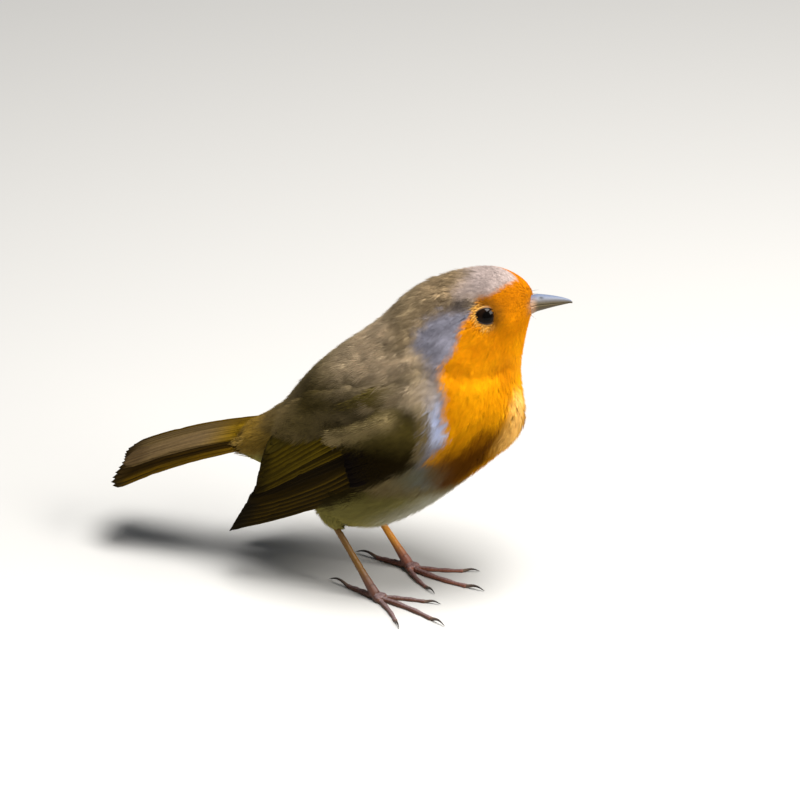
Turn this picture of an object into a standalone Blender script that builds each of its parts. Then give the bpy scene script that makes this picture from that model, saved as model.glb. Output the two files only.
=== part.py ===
"""A European robin standing on its own two feet: a still, life-size model in closed solids.

The frame is in metres, +X ahead of the bird, +Y to its left and +Z up, with the origin on the floor
under the middle of the model. Sizes below are in millimetres, measured from the point on the floor
between the two feet, and frame_the_bird() moves the finished bird to its origin.
The solids give the outside of the plumage. Neighbours stay GAP apart.
"""

import math

import bmesh
import bpy
import numpy as np
from mathutils import Matrix, Vector

MM = 0.001
GAP = 0.3

# The plumage of head and trunk in the side view. Each station joins the upper outline to the lower one:
# upper x, upper z, lower x, lower z, half width, and how much fuller the section is low down than high up.
STATIONS = {
    "tail coverts": (-38.5, 35.8, -38.2, 31.4, 5.6, 0.00),
    "tail root": (-33.0, 39.4, -32.0, 28.0, 7.8, 0.00),
    "rump": (-27.0, 44.6, -23.5, 22.6, 11.5, 0.02),
    "vent": (-21.0, 53.0, -15.0, 16.6, 15.5, 0.04),
    "loin": (-14.0, 60.0, -4.0, 14.7, 18.3, 0.05),
    "back": (-7.4, 65.4, 8.0, 20.8, 19.5, 0.05),
    "mantle": (-2.0, 70.6, 18.6, 29.8, 19.2, 0.05),
    "shoulder": (2.6, 76.0, 27.6, 38.6, 17.2, 0.04),
    "nape": (7.0, 79.7, 31.6, 47.4, 14.4, 0.03),
    "neck": (12.0, 82.4, 31.5, 57.2, 11.6, 0.04),
    "head back": (18.0, 84.6, 32.4, 66.0, 10.0, 0.06),
    "crown": (24.3, 85.2, 33.2, 70.4, 8.8, 0.08),
    "forehead": (30.4, 83.2, 33.9, 73.2, 6.2, 0.06),
    "bill root": (34.3, 79.9, 34.5, 75.0, 2.7, 0.00),
}
STATION_NAMES = list(STATIONS)
RINGS_BETWEEN = 4
BODY_SIDES = 24

# Where the trunk is parted, as station numbers, and the plane that parts the back from the underside.
RUMP_CUT, BREAST_CUT, NECK_CUT, HEAD_CUT = 2.4, 4.9, 7.4, 9.3
BACK_PLANE_POINT = (0.0, 0.0, 44.5)
BACK_PLANE_RISE = 0.60

HEAD_TURN = math.radians(8.0)
TURN_FROM, TURN_TO = 6.5, 10.5
NECK_PIVOT = (13.0, 0.0)
HEAD_FLOOR = 62.0

EYE_RADIUS = 3.1
EYE_CENTRE = (24.1, 7.3, 76.4)
EYE_SEGMENTS, EYE_RINGS = 16, 10
EYE_HOLLOW = (3.6, -0.55)
CHEEK_CENTRE = (20.5, 9.5, 72.5)
CHEEK_BULGE = (5.5, 0.6)
PUFF_CENTRE = (30.5, 5.5, 43.0)
PUFF_BULGE = (6.0, 2.3)

BILL_LENGTH = 9.5
BILL_WIDTH = 4.3
BILL_RISE = math.radians(7.0)
UPPER_DEPTH, UPPER_TAPER = 2.0, 0.45
LOWER_DEPTH, LOWER_TAPER = 1.55, 0.80
TIP_DROP = 0.45
BILL_ROOT = (34.5 + GAP, 77.1)
BILL_RINGS = 9

# The folded wing lies on a tube round an axis along the flank: its middle at the front, and its fall.
WING_AXIS_POINT = (3.0, 45.5)
WING_AXIS_FALL = math.radians(31.5)
# Radius of that tube, from its front to the wing tip: distance along the axis, radius.
WING_TUBE = ((-22.0, 17.2), (-12.0, 19.9), (0.0, 21.3), (15.0, 19.9), (31.0, 15.9), (50.0, 11.9))
# Front and rear edges of the folded wing in the side view, both from its lower edge to its upper edge.
WING_FRONT = ((8.4, 38.0), (13.0, 43.4), (14.6, 50.2), (12.4, 56.6), (5.0, 61.5))
WING_REAR = ((-37.6, 12.4), (-31.6, 22.0), (-29.8, 30.2), (-28.4, 37.6), (-22.5, 46.0))
WING_ROWS, WING_COLUMNS = 4, 11
WING_THICKNESS = 3.4
WING_EDGE = 0.6
ARM_SHARE = 0.45
FLIGHT_FEATHER_TIPS = 9
TIP_SCALLOP = 0.012
COVERT_CUT = 12.5
COVERT_LEAN = math.radians(12.0)
PRIMARY_CUT_POINT = (-8.0, 35.4)
PRIMARY_CUT_FALL = math.radians(27.0)

# The tail's middle line in the side view, from under the coverts to the tip, before it swings to the left.
TAIL_LINE = ((-30.0, 36.0), (-40.0, 32.8), (-50.0, 29.2), (-60.0, 24.8), (-70.4, 19.4))
TAIL_HALF_ROOT, TAIL_HALF_TIP = 5.6, 9.0
TAIL_ROLL = math.radians(20.0)
TAIL_SWING = math.radians(4.0)
TAIL_SWING_X = -28.0
TAIL_ARCH = 0.9
TAIL_THICKNESS = 1.7
TAIL_EDGE = 0.6
TAIL_NOTCH = 1.4
TAIL_ROWS, TAIL_COLUMNS = 2, 24
TAIL_FEATHERS = 12

# Each leg: where the toes meet on the floor plan, the ankle hidden in the plumage, and the turn of the foot.
FEET = {
    "right": {"root": (-0.9, -12.0), "ankle": (-15.2, -8.8, 22.3), "turn": math.radians(-19.0)},
    "left": {"root": (1.7, 6.8), "ankle": (-11.8, 5.8, 22.9), "turn": math.radians(-25.0)},
}
FOOT_HEIGHT = 1.45
TARSUS_RADII = (1.35, 0.95, 0.82, 0.86, 1.25)
TARSUS_VISIBLE_END = 0.92
# Toes: length to the claw, angle outwards from the foot's own line, root radius, claw length.
TOES = {
    "hind": (9.0, math.radians(188.0), 0.85, 6.2),
    "inner": (12.2, math.radians(-31.0), 0.72, 3.8),
    "middle": (17.8, math.radians(0.0), 0.80, 4.8),
    "outer": (13.6, math.radians(28.0), 0.72, 3.8),
}
TOE_ROOT_REACH = 1.5
TOE_FLAT_DEPTH = 0.22
TOE_PADS = 3
TOE_RINGS = 7
CLAW_ROOT_SHARE = 0.62
CLAW_RINGS = 7
CLAW_ARCH = 0.16
CLAW_TIP_HEIGHT = 0.2
THIGH_RADII = (3.0, 4.0, 6.8)
THIGH_ALONG = 0.96
THIGH_FORWARD = 0.9
THIGH_OUT = 9.0

PLUMAGE_ROUGHNESS = 0.85


# ---------------------------------------------------------------- helpers


def start_empty():
    """Removes what the scene holds, and makes the collections of the bird and its cutters."""
    for old in list(bpy.data.objects):
        bpy.data.objects.remove(old)
    made = []
    for name in ("robin", "cutters"):
        collection = bpy.data.collections.new(name)
        bpy.context.scene.collection.children.link(collection)
        made.append(collection)
    return made


def material(name, colour, roughness):
    """A Principled material of one colour."""
    made = bpy.data.materials.new(name)
    made.use_nodes = True
    shader = made.node_tree.nodes["Principled BSDF"]
    shader.inputs["Base Color"].default_value = (*colour, 1.0)
    shader.inputs["Roughness"].default_value = roughness
    shader.inputs["Metallic"].default_value = 0.0
    made.diffuse_color = (*colour, 1.0)
    return made


def add_mesh(name, mesh, collection, look=None):
    """Links a mesh as a named object."""
    made = bpy.data.objects.new(name, mesh)
    collection.objects.link(made)
    if look:
        mesh.materials.clear()
        mesh.materials.append(look)
    return made


def as_mesh(name, points, faces):
    """A mesh of points in millimetres, with its faces turned outwards."""
    bm = bmesh.new()
    corners = [bm.verts.new(Vector(p) * MM) for p in points]
    for face in faces:
        bm.faces.new([corners[i] for i in face])
    bmesh.ops.recalc_face_normals(bm, faces=bm.faces)
    mesh = bpy.data.meshes.new(name)
    bm.to_mesh(mesh)
    bm.free()
    mesh.shade_smooth()
    return mesh


def smooth_through(values, steps):
    """Rows of a smooth curve through the rows of values, with that many steps between neighbours."""
    rows = np.asarray(values, float)
    rows = np.vstack([2 * rows[0] - rows[1], rows, 2 * rows[-1] - rows[-2]])
    found = []
    for before, start, end, after in zip(rows, rows[1:], rows[2:], rows[3:], strict=False):
        for t in np.arange(steps) / steps:
            pull = 2 * start + (end - before) * t
            bend = (2 * before - 5 * start + 4 * end - after) * t**2
            twist = (3 * start - before - 3 * end + after) * t**3
            found.append((pull + bend + twist) / 2)
    found.append(rows[-2])
    return np.array(found)


def value_at(table, where):
    """Reads a short table of (place, value) rows smoothly."""
    fine = smooth_through(table, 8)
    return np.interp(where, fine[:, 0], fine[:, 1])


def eased(share):
    """0 to 1 with a soft start and end."""
    share = np.clip(share, 0.0, 1.0)
    return share * share * (3 - 2 * share)


def skinned(rings):
    """Points and faces of a closed form over rings of equal count, with both ends capped."""
    count = len(rings[0])
    points = [tuple(p) for ring in rings for p in ring]
    faces = []
    for row in range(len(rings) - 1):
        for i in range(count):
            j = (i + 1) % count
            a, b = row * count, (row + 1) * count
            faces.append((a + i, a + j, b + j, b + i))
    faces.append(tuple(reversed(range(count))))
    faces.append(tuple(range((len(rings) - 1) * count, len(rings) * count)))
    return points, faces


def swollen(mesh, name, by):
    """A copy of a closed mesh whose surface stands out by that many millimetres."""
    grown = mesh.copy()
    grown.name = name
    normals = [v.normal.copy() for v in mesh.vertices]
    for vertex, normal in zip(grown.vertices, normals, strict=True):
        vertex.co += normal * by * MM
    return grown


def add_cutter(name, mesh, cutters):
    """A helper solid that only cuts, and never shows."""
    made = add_mesh(name, mesh, cutters)
    made.hide_render = True
    made.display_type = "WIRE"
    return made


def cut_away(target, cutter):
    """Takes the cutter's shape off the target."""
    cut = target.modifiers.new("less " + cutter.name, "BOOLEAN")
    cut.operation = "DIFFERENCE"
    cut.solver = "EXACT"
    cut.object = cutter


def keep_below(mesh, point, normal):
    """Cuts a closed mesh off at a plane, keeps what lies against the normal, and caps the cut."""
    bm = bmesh.new()
    bm.from_mesh(mesh)
    everything = bm.verts[:] + bm.edges[:] + bm.faces[:]
    cut = bmesh.ops.bisect_plane(
        bm, geom=everything, dist=1e-7, plane_co=Vector(point) * MM, plane_no=Vector(normal), clear_outer=True
    )
    rim = [part for part in cut["geom_cut"] if isinstance(part, bmesh.types.BMEdge)]
    if rim:
        bmesh.ops.edgeloop_fill(bm, edges=rim)
    bmesh.ops.recalc_face_normals(bm, faces=bm.faces)
    bm.to_mesh(mesh)
    bm.free()
    return mesh


def keep_above(mesh, point, normal):
    """The other side of keep_below."""
    return keep_below(mesh, point, tuple(-n for n in normal))


def parted(mesh, point, normal):
    """The two closed halves of a mesh, below and above a plane, with the gap between them."""
    unit = Vector(normal).normalized()
    low = tuple(Vector(point) - unit * GAP / 2)
    high = tuple(Vector(point) + unit * GAP / 2)
    return keep_below(mesh.copy(), low, unit), keep_above(mesh.copy(), high, unit)


def solid_of(made):
    """The evaluated mesh of an object, its loose caps welded; the object itself is removed."""
    bpy.context.view_layer.update()
    graph = bpy.context.evaluated_depsgraph_get()
    mesh = bpy.data.meshes.new_from_object(made.evaluated_get(graph))
    mesh.transform(made.matrix_world)
    bpy.data.objects.remove(made)
    bm = bmesh.new()
    bm.from_mesh(mesh)
    bmesh.ops.remove_doubles(bm, verts=bm.verts, dist=1e-6)
    bmesh.ops.recalc_face_normals(bm, faces=bm.faces)
    bm.to_mesh(mesh)
    bm.free()
    mesh.shade_smooth()
    return mesh


def tapered_rod(points, radii, roundness=2):
    """A rod along points in millimetres whose radius changes from point to point, as a closed mesh."""
    line = bpy.data.curves.new("rod", "CURVE")
    line.dimensions = "3D"
    line.bevel_depth = MM
    line.bevel_resolution = roundness
    line.use_fill_caps = True
    spline = line.splines.new("POLY")
    spline.points.add(len(points) - 1)
    for knot, place, radius in zip(spline.points, points, radii, strict=True):
        knot.co = (*(c * MM for c in place), 1.0)
        knot.radius = radius
    rod = bpy.data.objects.new("rod", line)
    bpy.context.scene.collection.objects.link(rod)
    return solid_of(rod)


def ball(radii, centre, tilt=0.0, segments=EYE_SEGMENTS, rings=EYE_RINGS):
    """An ellipsoid mesh, tilted about the Y axis."""
    mesh = bpy.data.meshes.new("ball")
    bm = bmesh.new()
    bmesh.ops.create_uvsphere(bm, u_segments=segments, v_segments=rings, radius=MM)
    bm.to_mesh(mesh)
    bm.free()
    mesh.transform(Matrix.Diagonal((*radii, 1.0)))
    mesh.transform(Matrix.Rotation(tilt, 4, "Y"))
    mesh.transform(Matrix.Translation(Vector(centre) * MM))
    mesh.shade_smooth()
    return mesh


# ---------------------------------------------------------------- head and trunk


def turned_with_head(points, station):
    """Points of the body swung about the neck, as far as the head's turn has come at that station."""
    angle = HEAD_TURN * eased((station - TURN_FROM) / (TURN_TO - TURN_FROM))
    x = points[:, 0] - NECK_PIVOT[0]
    y = points[:, 1] - NECK_PIVOT[1]
    turned = points.copy()
    turned[:, 0] = NECK_PIVOT[0] + x * math.cos(angle) - y * math.sin(angle)
    turned[:, 1] = NECK_PIVOT[1] + x * math.sin(angle) + y * math.cos(angle)
    return turned


def body_ring(station, number):
    """One egg-shaped section of the plumage."""
    upper_x, upper_z, lower_x, lower_z, half_width, fuller = station
    angle = np.linspace(0, 2 * math.pi, BODY_SIDES, endpoint=False)
    level = (1 + np.cos(angle)) / 2
    across = half_width * np.sin(angle) * (1 - fuller * np.cos(angle))
    x = lower_x + (upper_x - lower_x) * level
    z = lower_z + (upper_z - lower_z) * level
    return turned_with_head(np.stack([x, across, z], axis=1), number)


def swell(mesh, centre, radius, height, sides=(-1, 1)):
    """Raises, or sinks, a soft round patch of a mesh, by default on both sides of the bird."""
    for side in sides:
        place = np.array([[centre[0], side * centre[1], centre[2]]])
        station = TURN_TO if centre[2] > HEAD_FLOOR else TURN_FROM
        middle = Vector(turned_with_head(place, station)[0]) * MM
        for vertex in mesh.vertices:
            far = (vertex.co - middle).length / (radius * MM)
            if far < 3:
                vertex.co += vertex.normal * height * MM * math.exp(-far * far)


def body_mesh():
    """Head and trunk in one closed mesh, from the tail coverts to the root of the bill."""
    rows = smooth_through(list(STATIONS.values()), RINGS_BETWEEN)
    rings = [body_ring(row, i / RINGS_BETWEEN) for i, row in enumerate(rows)]
    mesh = as_mesh("body", *skinned(rings))
    swell(mesh, CHEEK_CENTRE, *CHEEK_BULGE)
    swell(mesh, EYE_CENTRE, *EYE_HOLLOW)
    swell(mesh, PUFF_CENTRE, *PUFF_BULGE, sides=(1,))
    return mesh


def station_plane(number):
    """A point and a normal, towards the bill, of the section at that station number."""
    rows = smooth_through(list(STATIONS.values()), 20)
    row = rows[round(number * 20)]
    middle = np.array([[(row[0] + row[2]) / 2, 0.0, (row[1] + row[3]) / 2]])
    normal = np.array([[row[1] - row[3], 0.0, row[2] - row[0]]])
    turn = turned_with_head(middle + normal, number) - turned_with_head(middle, number)
    return tuple(turned_with_head(middle, number)[0]), tuple(turn[0])


def build_trunk(body, looks, robin):
    """Parts the body into rump, back, belly, breast, neck and head."""
    rest, head = parted(body, *station_plane(HEAD_CUT))
    rest, neck = parted(rest, *station_plane(NECK_CUT))
    rump, trunk = parted(rest, *station_plane(RUMP_CUT))
    underside, back = parted(trunk, BACK_PLANE_POINT, (-BACK_PLANE_RISE, 0.0, 1.0))
    belly, breast = parted(underside, *station_plane(BREAST_CUT))
    add_mesh("rump", rump, robin, looks["brown"])
    add_mesh("back", back, robin, looks["brown"])
    add_mesh("belly", belly, robin, looks["white"])
    add_mesh("breast", breast, robin, looks["orange"])
    add_mesh("neck", neck, robin, looks["grey"])
    return add_mesh("head", head, robin, looks["brown"])


def build_eyes(head, looks, robin, cutters):
    """The two eyeballs, each in its own socket."""
    for name, side in (("right", -1), ("left", 1)):
        place = np.array([[EYE_CENTRE[0], side * EYE_CENTRE[1], EYE_CENTRE[2]]])
        centre = tuple(turned_with_head(place, TURN_TO)[0])
        radii = (EYE_RADIUS,) * 3
        add_mesh("eye_" + name, ball(radii, centre), robin, looks["eye"])
        socket = ball((EYE_RADIUS + GAP,) * 3, centre)
        cut_away(head, add_cutter("socket_" + name, socket, cutters))


def mandible(name, depth, taper, upwards, look, robin):
    """Half of the bill: flat where the halves meet, arched outside, and tapering to the tip."""
    rings = []
    for share in np.linspace(0, 1, BILL_RINGS) ** 0.85:
        left = 1 - share
        half = BILL_WIDTH / 2 * left**0.80 + 0.14
        height = depth * left**taper + 0.16
        middle = BILL_ROOT[1] + BILL_LENGTH * share * math.tan(BILL_RISE) - TIP_DROP * share**2.6
        angle = np.linspace(0, math.pi, 9)
        across = half * np.cos(angle)
        rise = upwards * (GAP / 2 + height * np.sin(angle))
        along = np.full_like(angle, BILL_ROOT[0] + BILL_LENGTH * share)
        ring = np.stack([along, across, middle + rise], axis=1)
        rings.append(turned_with_head(ring, TURN_TO))
    add_mesh(name, as_mesh(name, *skinned(rings)), robin, look)


# ---------------------------------------------------------------- wings and tail


def on_wing_tube(x, z, inset=0.0):
    """The point of the folded wing's outside that shows at x, z in the side view, at +Y, moved inwards."""
    along_x, along_z = -math.cos(WING_AXIS_FALL), -math.sin(WING_AXIS_FALL)
    from_x, from_z = x - WING_AXIS_POINT[0], z - WING_AXIS_POINT[1]
    along = from_x * along_x + from_z * along_z
    above = from_x * along_z - from_z * along_x
    radius = value_at(WING_TUBE, along)
    round_it = math.asin(np.clip(above / radius, -0.99, 0.99))
    above, out = (radius - inset) * math.sin(round_it), (radius - inset) * math.cos(round_it)
    x = WING_AXIS_POINT[0] + along * along_x + above * along_z
    z = WING_AXIS_POINT[1] + along * along_z - above * along_x
    return x, out, z


def wing_thickness(share, height):
    """Thickness of the wing: full over the arm, thin along its edges and towards the tip."""
    front = min(1.0, share / 0.16)
    arm = 1 - 0.62 * eased((share - ARM_SHARE * 0.5) / (1 - ARM_SHARE * 0.5))
    rounded = math.sqrt(max(0.0, 1 - (2 * height - 1) ** 4))
    return WING_EDGE + (WING_THICKNESS - WING_EDGE) * math.sqrt(front) * arm * rounded


def wing_mesh(side):
    """A folded wing as a closed blade on its tube, with the tips of its flight feathers along the rear."""
    front = smooth_through(WING_FRONT, WING_ROWS)
    rear = smooth_through(WING_REAR, WING_ROWS)
    outside, inside = [], []
    rows = len(front)
    for row in range(rows):
        height = row / (rows - 1)
        wave = abs(math.sin(math.pi * FLIGHT_FEATHER_TIPS * height))
        for share in np.linspace(0, 1, WING_COLUMNS) ** 0.92:
            reach = share * (1 + TIP_SCALLOP * (wave - 0.5))
            x, z = front[row] + (rear[row] - front[row]) * reach
            thick = wing_thickness(share, height)
            outer, inner = on_wing_tube(x, z), on_wing_tube(x, z, thick)
            outside.append((outer[0], side * outer[1], outer[2]))
            inside.append((inner[0], side * inner[1], inner[2]))
    return as_mesh("wing", *plate(outside, inside, rows, WING_COLUMNS))


def plate(outside, inside, rows, columns):
    """Points and faces of a closed plate between two grids of the same size."""
    points = outside + inside
    under = len(outside)
    faces = []
    for row in range(rows - 1):
        for column in range(columns - 1):
            a = row * columns + column
            quad = (a, a + 1, a + columns + 1, a + columns)
            faces.append(quad)
            faces.append(tuple(under + i for i in reversed(quad)))
    rim = [column for column in range(columns)]
    rim += [row * columns + columns - 1 for row in range(1, rows)]
    rim += [(rows - 1) * columns + column for column in range(columns - 2, -1, -1)]
    rim += [row * columns for row in range(rows - 2, 0, -1)]
    for i, j in zip(rim, rim[1:] + rim[:1], strict=True):
        faces.append((j, i, under + i, under + j))
    return points, faces


def build_wing(name, side, looks, robin, body_cutter):
    """A wing in three parts: the coverts over the arm, the secondaries with the tertials, the primaries."""
    blade = wing_mesh(side)
    lean = WING_AXIS_FALL - COVERT_LEAN
    middle = (
        WING_AXIS_POINT[0] - COVERT_CUT * math.cos(WING_AXIS_FALL),
        0.0,
        WING_AXIS_POINT[1] - COVERT_CUT * math.sin(WING_AXIS_FALL),
    )
    flight, coverts = parted(blade, middle, (math.cos(lean), 0.0, math.sin(lean)))
    below = (PRIMARY_CUT_POINT[0], 0.0, PRIMARY_CUT_POINT[1])
    across = (-math.sin(PRIMARY_CUT_FALL), 0.0, math.cos(PRIMARY_CUT_FALL))
    primaries, secondaries = parted(flight, below, across)
    parts = {"coverts": coverts, "secondaries": secondaries, "primaries": primaries}
    for part, mesh in parts.items():
        made = add_mesh(f"wing_{name}_{part}", mesh, robin, looks["brown" if part == "coverts" else "quill"])
        cut_away(made, body_cutter)


def tail_mesh():
    """The closed tail as one plate, rolled and swung as the bird holds it, with twelve feather tips."""
    line = smooth_through(TAIL_LINE, TAIL_ROWS)
    shares = np.linspace(0, 1, len(line))
    above, below = [], []
    for column in range(TAIL_COLUMNS + 1):
        side = 2 * column / TAIL_COLUMNS - 1
        tip = abs(math.sin(math.pi * TAIL_FEATHERS * column / TAIL_COLUMNS))
        for share, (x, z) in zip(shares, line, strict=True):
            half = TAIL_HALF_ROOT + (TAIL_HALF_TIP - TAIL_HALF_ROOT) * share**0.8
            notch = -TAIL_NOTCH * (1 - abs(side)) + 0.7 * tip - 1.5 * side**6
            reach = x - notch * max(0.0, (share - 0.75) / 0.25)
            thick = TAIL_EDGE + (TAIL_THICKNESS - TAIL_EDGE) * (1 - side * side) * (1 - 0.6 * share)
            arch = TAIL_ARCH * (1 - side * side)
            for grid, level in ((above, arch + thick / 2), (below, arch - thick / 2)):
                y = half * side * math.cos(TAIL_ROLL) - level * math.sin(TAIL_ROLL)
                up = half * side * math.sin(TAIL_ROLL) + level * math.cos(TAIL_ROLL)
                grid.append((reach, y, z + up))
    mesh = as_mesh("tail", *plate(above, below, TAIL_COLUMNS + 1, len(line)))
    pivot = Matrix.Translation(Vector((TAIL_SWING_X * MM, 0, 0)))
    mesh.transform(pivot @ Matrix.Rotation(-TAIL_SWING, 4, "Z") @ pivot.inverted())
    return mesh


# ---------------------------------------------------------------- legs and feet


def toe_line(root, heading, length, outwards):
    """A toe along the floor from the foot's knuckle, curving a little outwards as it goes."""
    found = []
    for share in np.linspace(0, 1, TOE_RINGS):
        bend = heading + outwards * 0.16 * (share - 0.5)
        reach = TOE_ROOT_REACH + (length - TOE_ROOT_REACH) * share
        found.append((root[0] + reach * math.cos(bend), root[1] + reach * math.sin(bend)))
    return found


def toe_radius(root_radius, share):
    """A toe's radius: it thins towards the claw, with a pad under each joint."""
    pad = 0.10 * math.cos(2 * math.pi * TOE_PADS * share)
    return root_radius * (1 - 0.34 * share + pad)


def build_toe(foot, name, looks, robin, neighbours):
    """A toe with its flat underside, kept clear of its neighbours, and its claw; returns the toe's mesh."""
    length, spread, radius, claw_length = TOES[name]
    outwards = 1 if foot == "left" else -1
    heading = FEET[foot]["turn"] + outwards * spread
    root = FEET[foot]["root"]
    line = toe_line(root, heading, length, outwards if name != "hind" else 0)
    radii = [toe_radius(radius, share) for share in np.linspace(0, 1, len(line))]
    low = radius - TOE_FLAT_DEPTH
    middle = [(x, y, low * (1 - 0.30 * i / (len(line) - 1))) for i, (x, y) in enumerate(line)]
    mesh = keep_above(tapered_rod(middle, radii), (0, 0, 0), (0, 0, 1))
    toe = add_mesh(f"toe_{foot}_{name}", mesh, robin, looks["leg"])
    for neighbour in neighbours:
        cut_away(toe, neighbour)

    end, before = Vector(middle[-1]), Vector(middle[-2])
    ahead = (end - before).normalized()
    ahead.z = 0
    claw_root = radii[-1] * CLAW_ROOT_SHARE
    start = end + ahead * GAP
    points, sizes = [], []
    for share in np.linspace(0, 1, CLAW_RINGS):
        rise = CLAW_ARCH * math.sin(math.pi * share) * claw_length - (start.z - CLAW_TIP_HEIGHT) * share
        points.append(tuple(start + ahead * claw_length * share + Vector((0, 0, rise))))
        sizes.append(claw_root * (1 - share) ** 0.8 + 0.10)
    add_mesh(f"claw_{foot}_{name}", tapered_rod(points, sizes, 1), robin, looks["claw"])
    return mesh


def build_leg(foot, looks, robin, cutters, body_cutter):
    """Thigh plumage, the bare tarsus, and the toes."""
    root_x, root_y = FEET[foot]["root"]
    knuckle = Vector((root_x, root_y, FOOT_HEIGHT))
    ankle = Vector(FEET[foot]["ankle"])
    slope = math.atan2(knuckle.x - ankle.x, ankle.z - knuckle.z)
    thigh_centre = knuckle.lerp(ankle, THIGH_ALONG)
    thigh_centre.x += THIGH_FORWARD
    thigh_centre.y = math.copysign(THIGH_OUT, root_y)
    thigh = ball(THIGH_RADII, thigh_centre, -slope)
    made = add_mesh("thigh_" + foot, thigh, robin, looks["white"])
    cut_away(made, body_cutter)
    cuff = ball(tuple(r + GAP for r in THIGH_RADII), thigh_centre, -slope)

    shares = np.linspace(0, 1, len(TARSUS_RADII))
    line = [tuple(knuckle.lerp(ankle, TARSUS_VISIBLE_END * share)) for share in shares]
    shank = tapered_rod(line, TARSUS_RADII, 3)
    tarsus = add_mesh("tarsus_" + foot, shank, robin, looks["leg"])
    cut_away(tarsus, add_cutter("cuff_" + foot, cuff, cutters))
    cut_away(tarsus, body_cutter)
    name = "shank_cutter_" + foot
    neighbours = [add_cutter(name, swollen(shank, name, GAP), cutters)]
    middle = build_toe(foot, "middle", looks, robin, neighbours)
    name = "middle_toe_cutter_" + foot
    neighbours.append(add_cutter(name, swollen(middle, name, GAP), cutters))
    for toe in ("inner", "outer", "hind"):
        build_toe(foot, toe, looks, robin, neighbours)


# ---------------------------------------------------------------- the whole bird


def frame_the_bird(robin, cutters):
    """Moves everything so that the origin lies on the floor under the middle of the bird's own box."""
    bpy.context.view_layer.update()
    graph = bpy.context.evaluated_depsgraph_get()
    corners = []
    for made in robin.objects:
        held = made.evaluated_get(graph)
        corners += [held.matrix_world @ Vector(c) for c in held.bound_box]
    low = Vector(min(c[i] for c in corners) for i in range(3))
    high = Vector(max(c[i] for c in corners) for i in range(3))
    shift = Vector((-(low.x + high.x) / 2, -(low.y + high.y) / 2, -low.z))
    for made in [*robin.objects, *cutters.objects]:
        made.location = shift
    print("origin moved by", [round(c / MM, 2) for c in shift], "mm")


def main():
    robin, cutters = start_empty()
    looks = {
        "brown": material("olive_brown_plumage", (0.165, 0.120, 0.062), PLUMAGE_ROUGHNESS),
        "orange": material("orange_plumage", (0.700, 0.230, 0.020), PLUMAGE_ROUGHNESS),
        "grey": material("blue_grey_plumage", (0.290, 0.290, 0.330), PLUMAGE_ROUGHNESS),
        "white": material("buff_white_plumage", (0.480, 0.430, 0.330), PLUMAGE_ROUGHNESS),
        "quill": material("flight_feathers", (0.085, 0.058, 0.024), 0.6),
        "leg": material("leg_scales", (0.270, 0.110, 0.055), 0.45),
        "claw": material("claw_horn", (0.090, 0.055, 0.040), 0.35),
        "bill": material("bill_horn", (0.080, 0.070, 0.070), 0.30),
        "eye": material("eye", (0.010, 0.008, 0.007), 0.05),
    }
    body = body_mesh()
    body_cutter = add_cutter("body_cutter", swollen(body, "body_cutter", GAP), cutters)
    head = build_trunk(body, looks, robin)
    build_eyes(head, looks, robin, cutters)
    mandible("bill_upper", UPPER_DEPTH, UPPER_TAPER, 1, looks["bill"], robin)
    mandible("bill_lower", LOWER_DEPTH, LOWER_TAPER, -1, looks["bill"], robin)
    for name, side in (("right", -1), ("left", 1)):
        build_wing(name, side, looks, robin, body_cutter)
    tail = add_mesh("tail", tail_mesh(), robin, looks["quill"])
    cut_away(tail, body_cutter)
    for foot in FEET:
        build_leg(foot, looks, robin, cutters, body_cutter)
    frame_the_bird(robin, cutters)


main()
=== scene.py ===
# %% [markdown]
# # A European robin, life size
#
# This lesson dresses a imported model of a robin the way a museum's model maker would. The packed
# solids already have the bird's size, pose and parts. They stay where they are and serve as the
# form that everything here is laid on: first one bare skin, then the feathers that grow from it,
# then the bill, the eyes and the scaly legs.

# %% Load the form
import math

import bmesh
import bpy
import numpy as np
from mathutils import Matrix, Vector
from mathutils.bvhtree import BVHTree


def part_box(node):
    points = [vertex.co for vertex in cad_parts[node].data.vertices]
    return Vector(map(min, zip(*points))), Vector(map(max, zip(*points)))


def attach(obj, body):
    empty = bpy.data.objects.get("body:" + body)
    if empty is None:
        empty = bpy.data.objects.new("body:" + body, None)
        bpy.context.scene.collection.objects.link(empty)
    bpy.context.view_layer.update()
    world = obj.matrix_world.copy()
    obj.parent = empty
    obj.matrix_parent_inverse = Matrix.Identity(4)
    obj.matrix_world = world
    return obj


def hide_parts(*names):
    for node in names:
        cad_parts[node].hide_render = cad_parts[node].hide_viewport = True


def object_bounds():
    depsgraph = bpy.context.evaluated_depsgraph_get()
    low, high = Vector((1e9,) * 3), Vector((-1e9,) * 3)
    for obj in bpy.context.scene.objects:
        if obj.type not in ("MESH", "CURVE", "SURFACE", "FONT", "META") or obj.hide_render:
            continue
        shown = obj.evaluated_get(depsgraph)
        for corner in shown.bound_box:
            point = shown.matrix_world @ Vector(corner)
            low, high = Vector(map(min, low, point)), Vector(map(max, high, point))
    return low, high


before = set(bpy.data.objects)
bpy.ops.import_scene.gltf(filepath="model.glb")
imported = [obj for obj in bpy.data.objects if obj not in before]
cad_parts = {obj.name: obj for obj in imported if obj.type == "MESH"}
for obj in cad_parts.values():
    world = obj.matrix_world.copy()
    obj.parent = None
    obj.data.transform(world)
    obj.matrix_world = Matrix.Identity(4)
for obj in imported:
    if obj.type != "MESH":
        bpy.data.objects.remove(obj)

CAD_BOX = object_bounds()
MM = 0.001
print("the form is", [round((high - low) / MM, 1) for low, high in zip(*CAD_BOX)], "mm long, wide and high")

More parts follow.
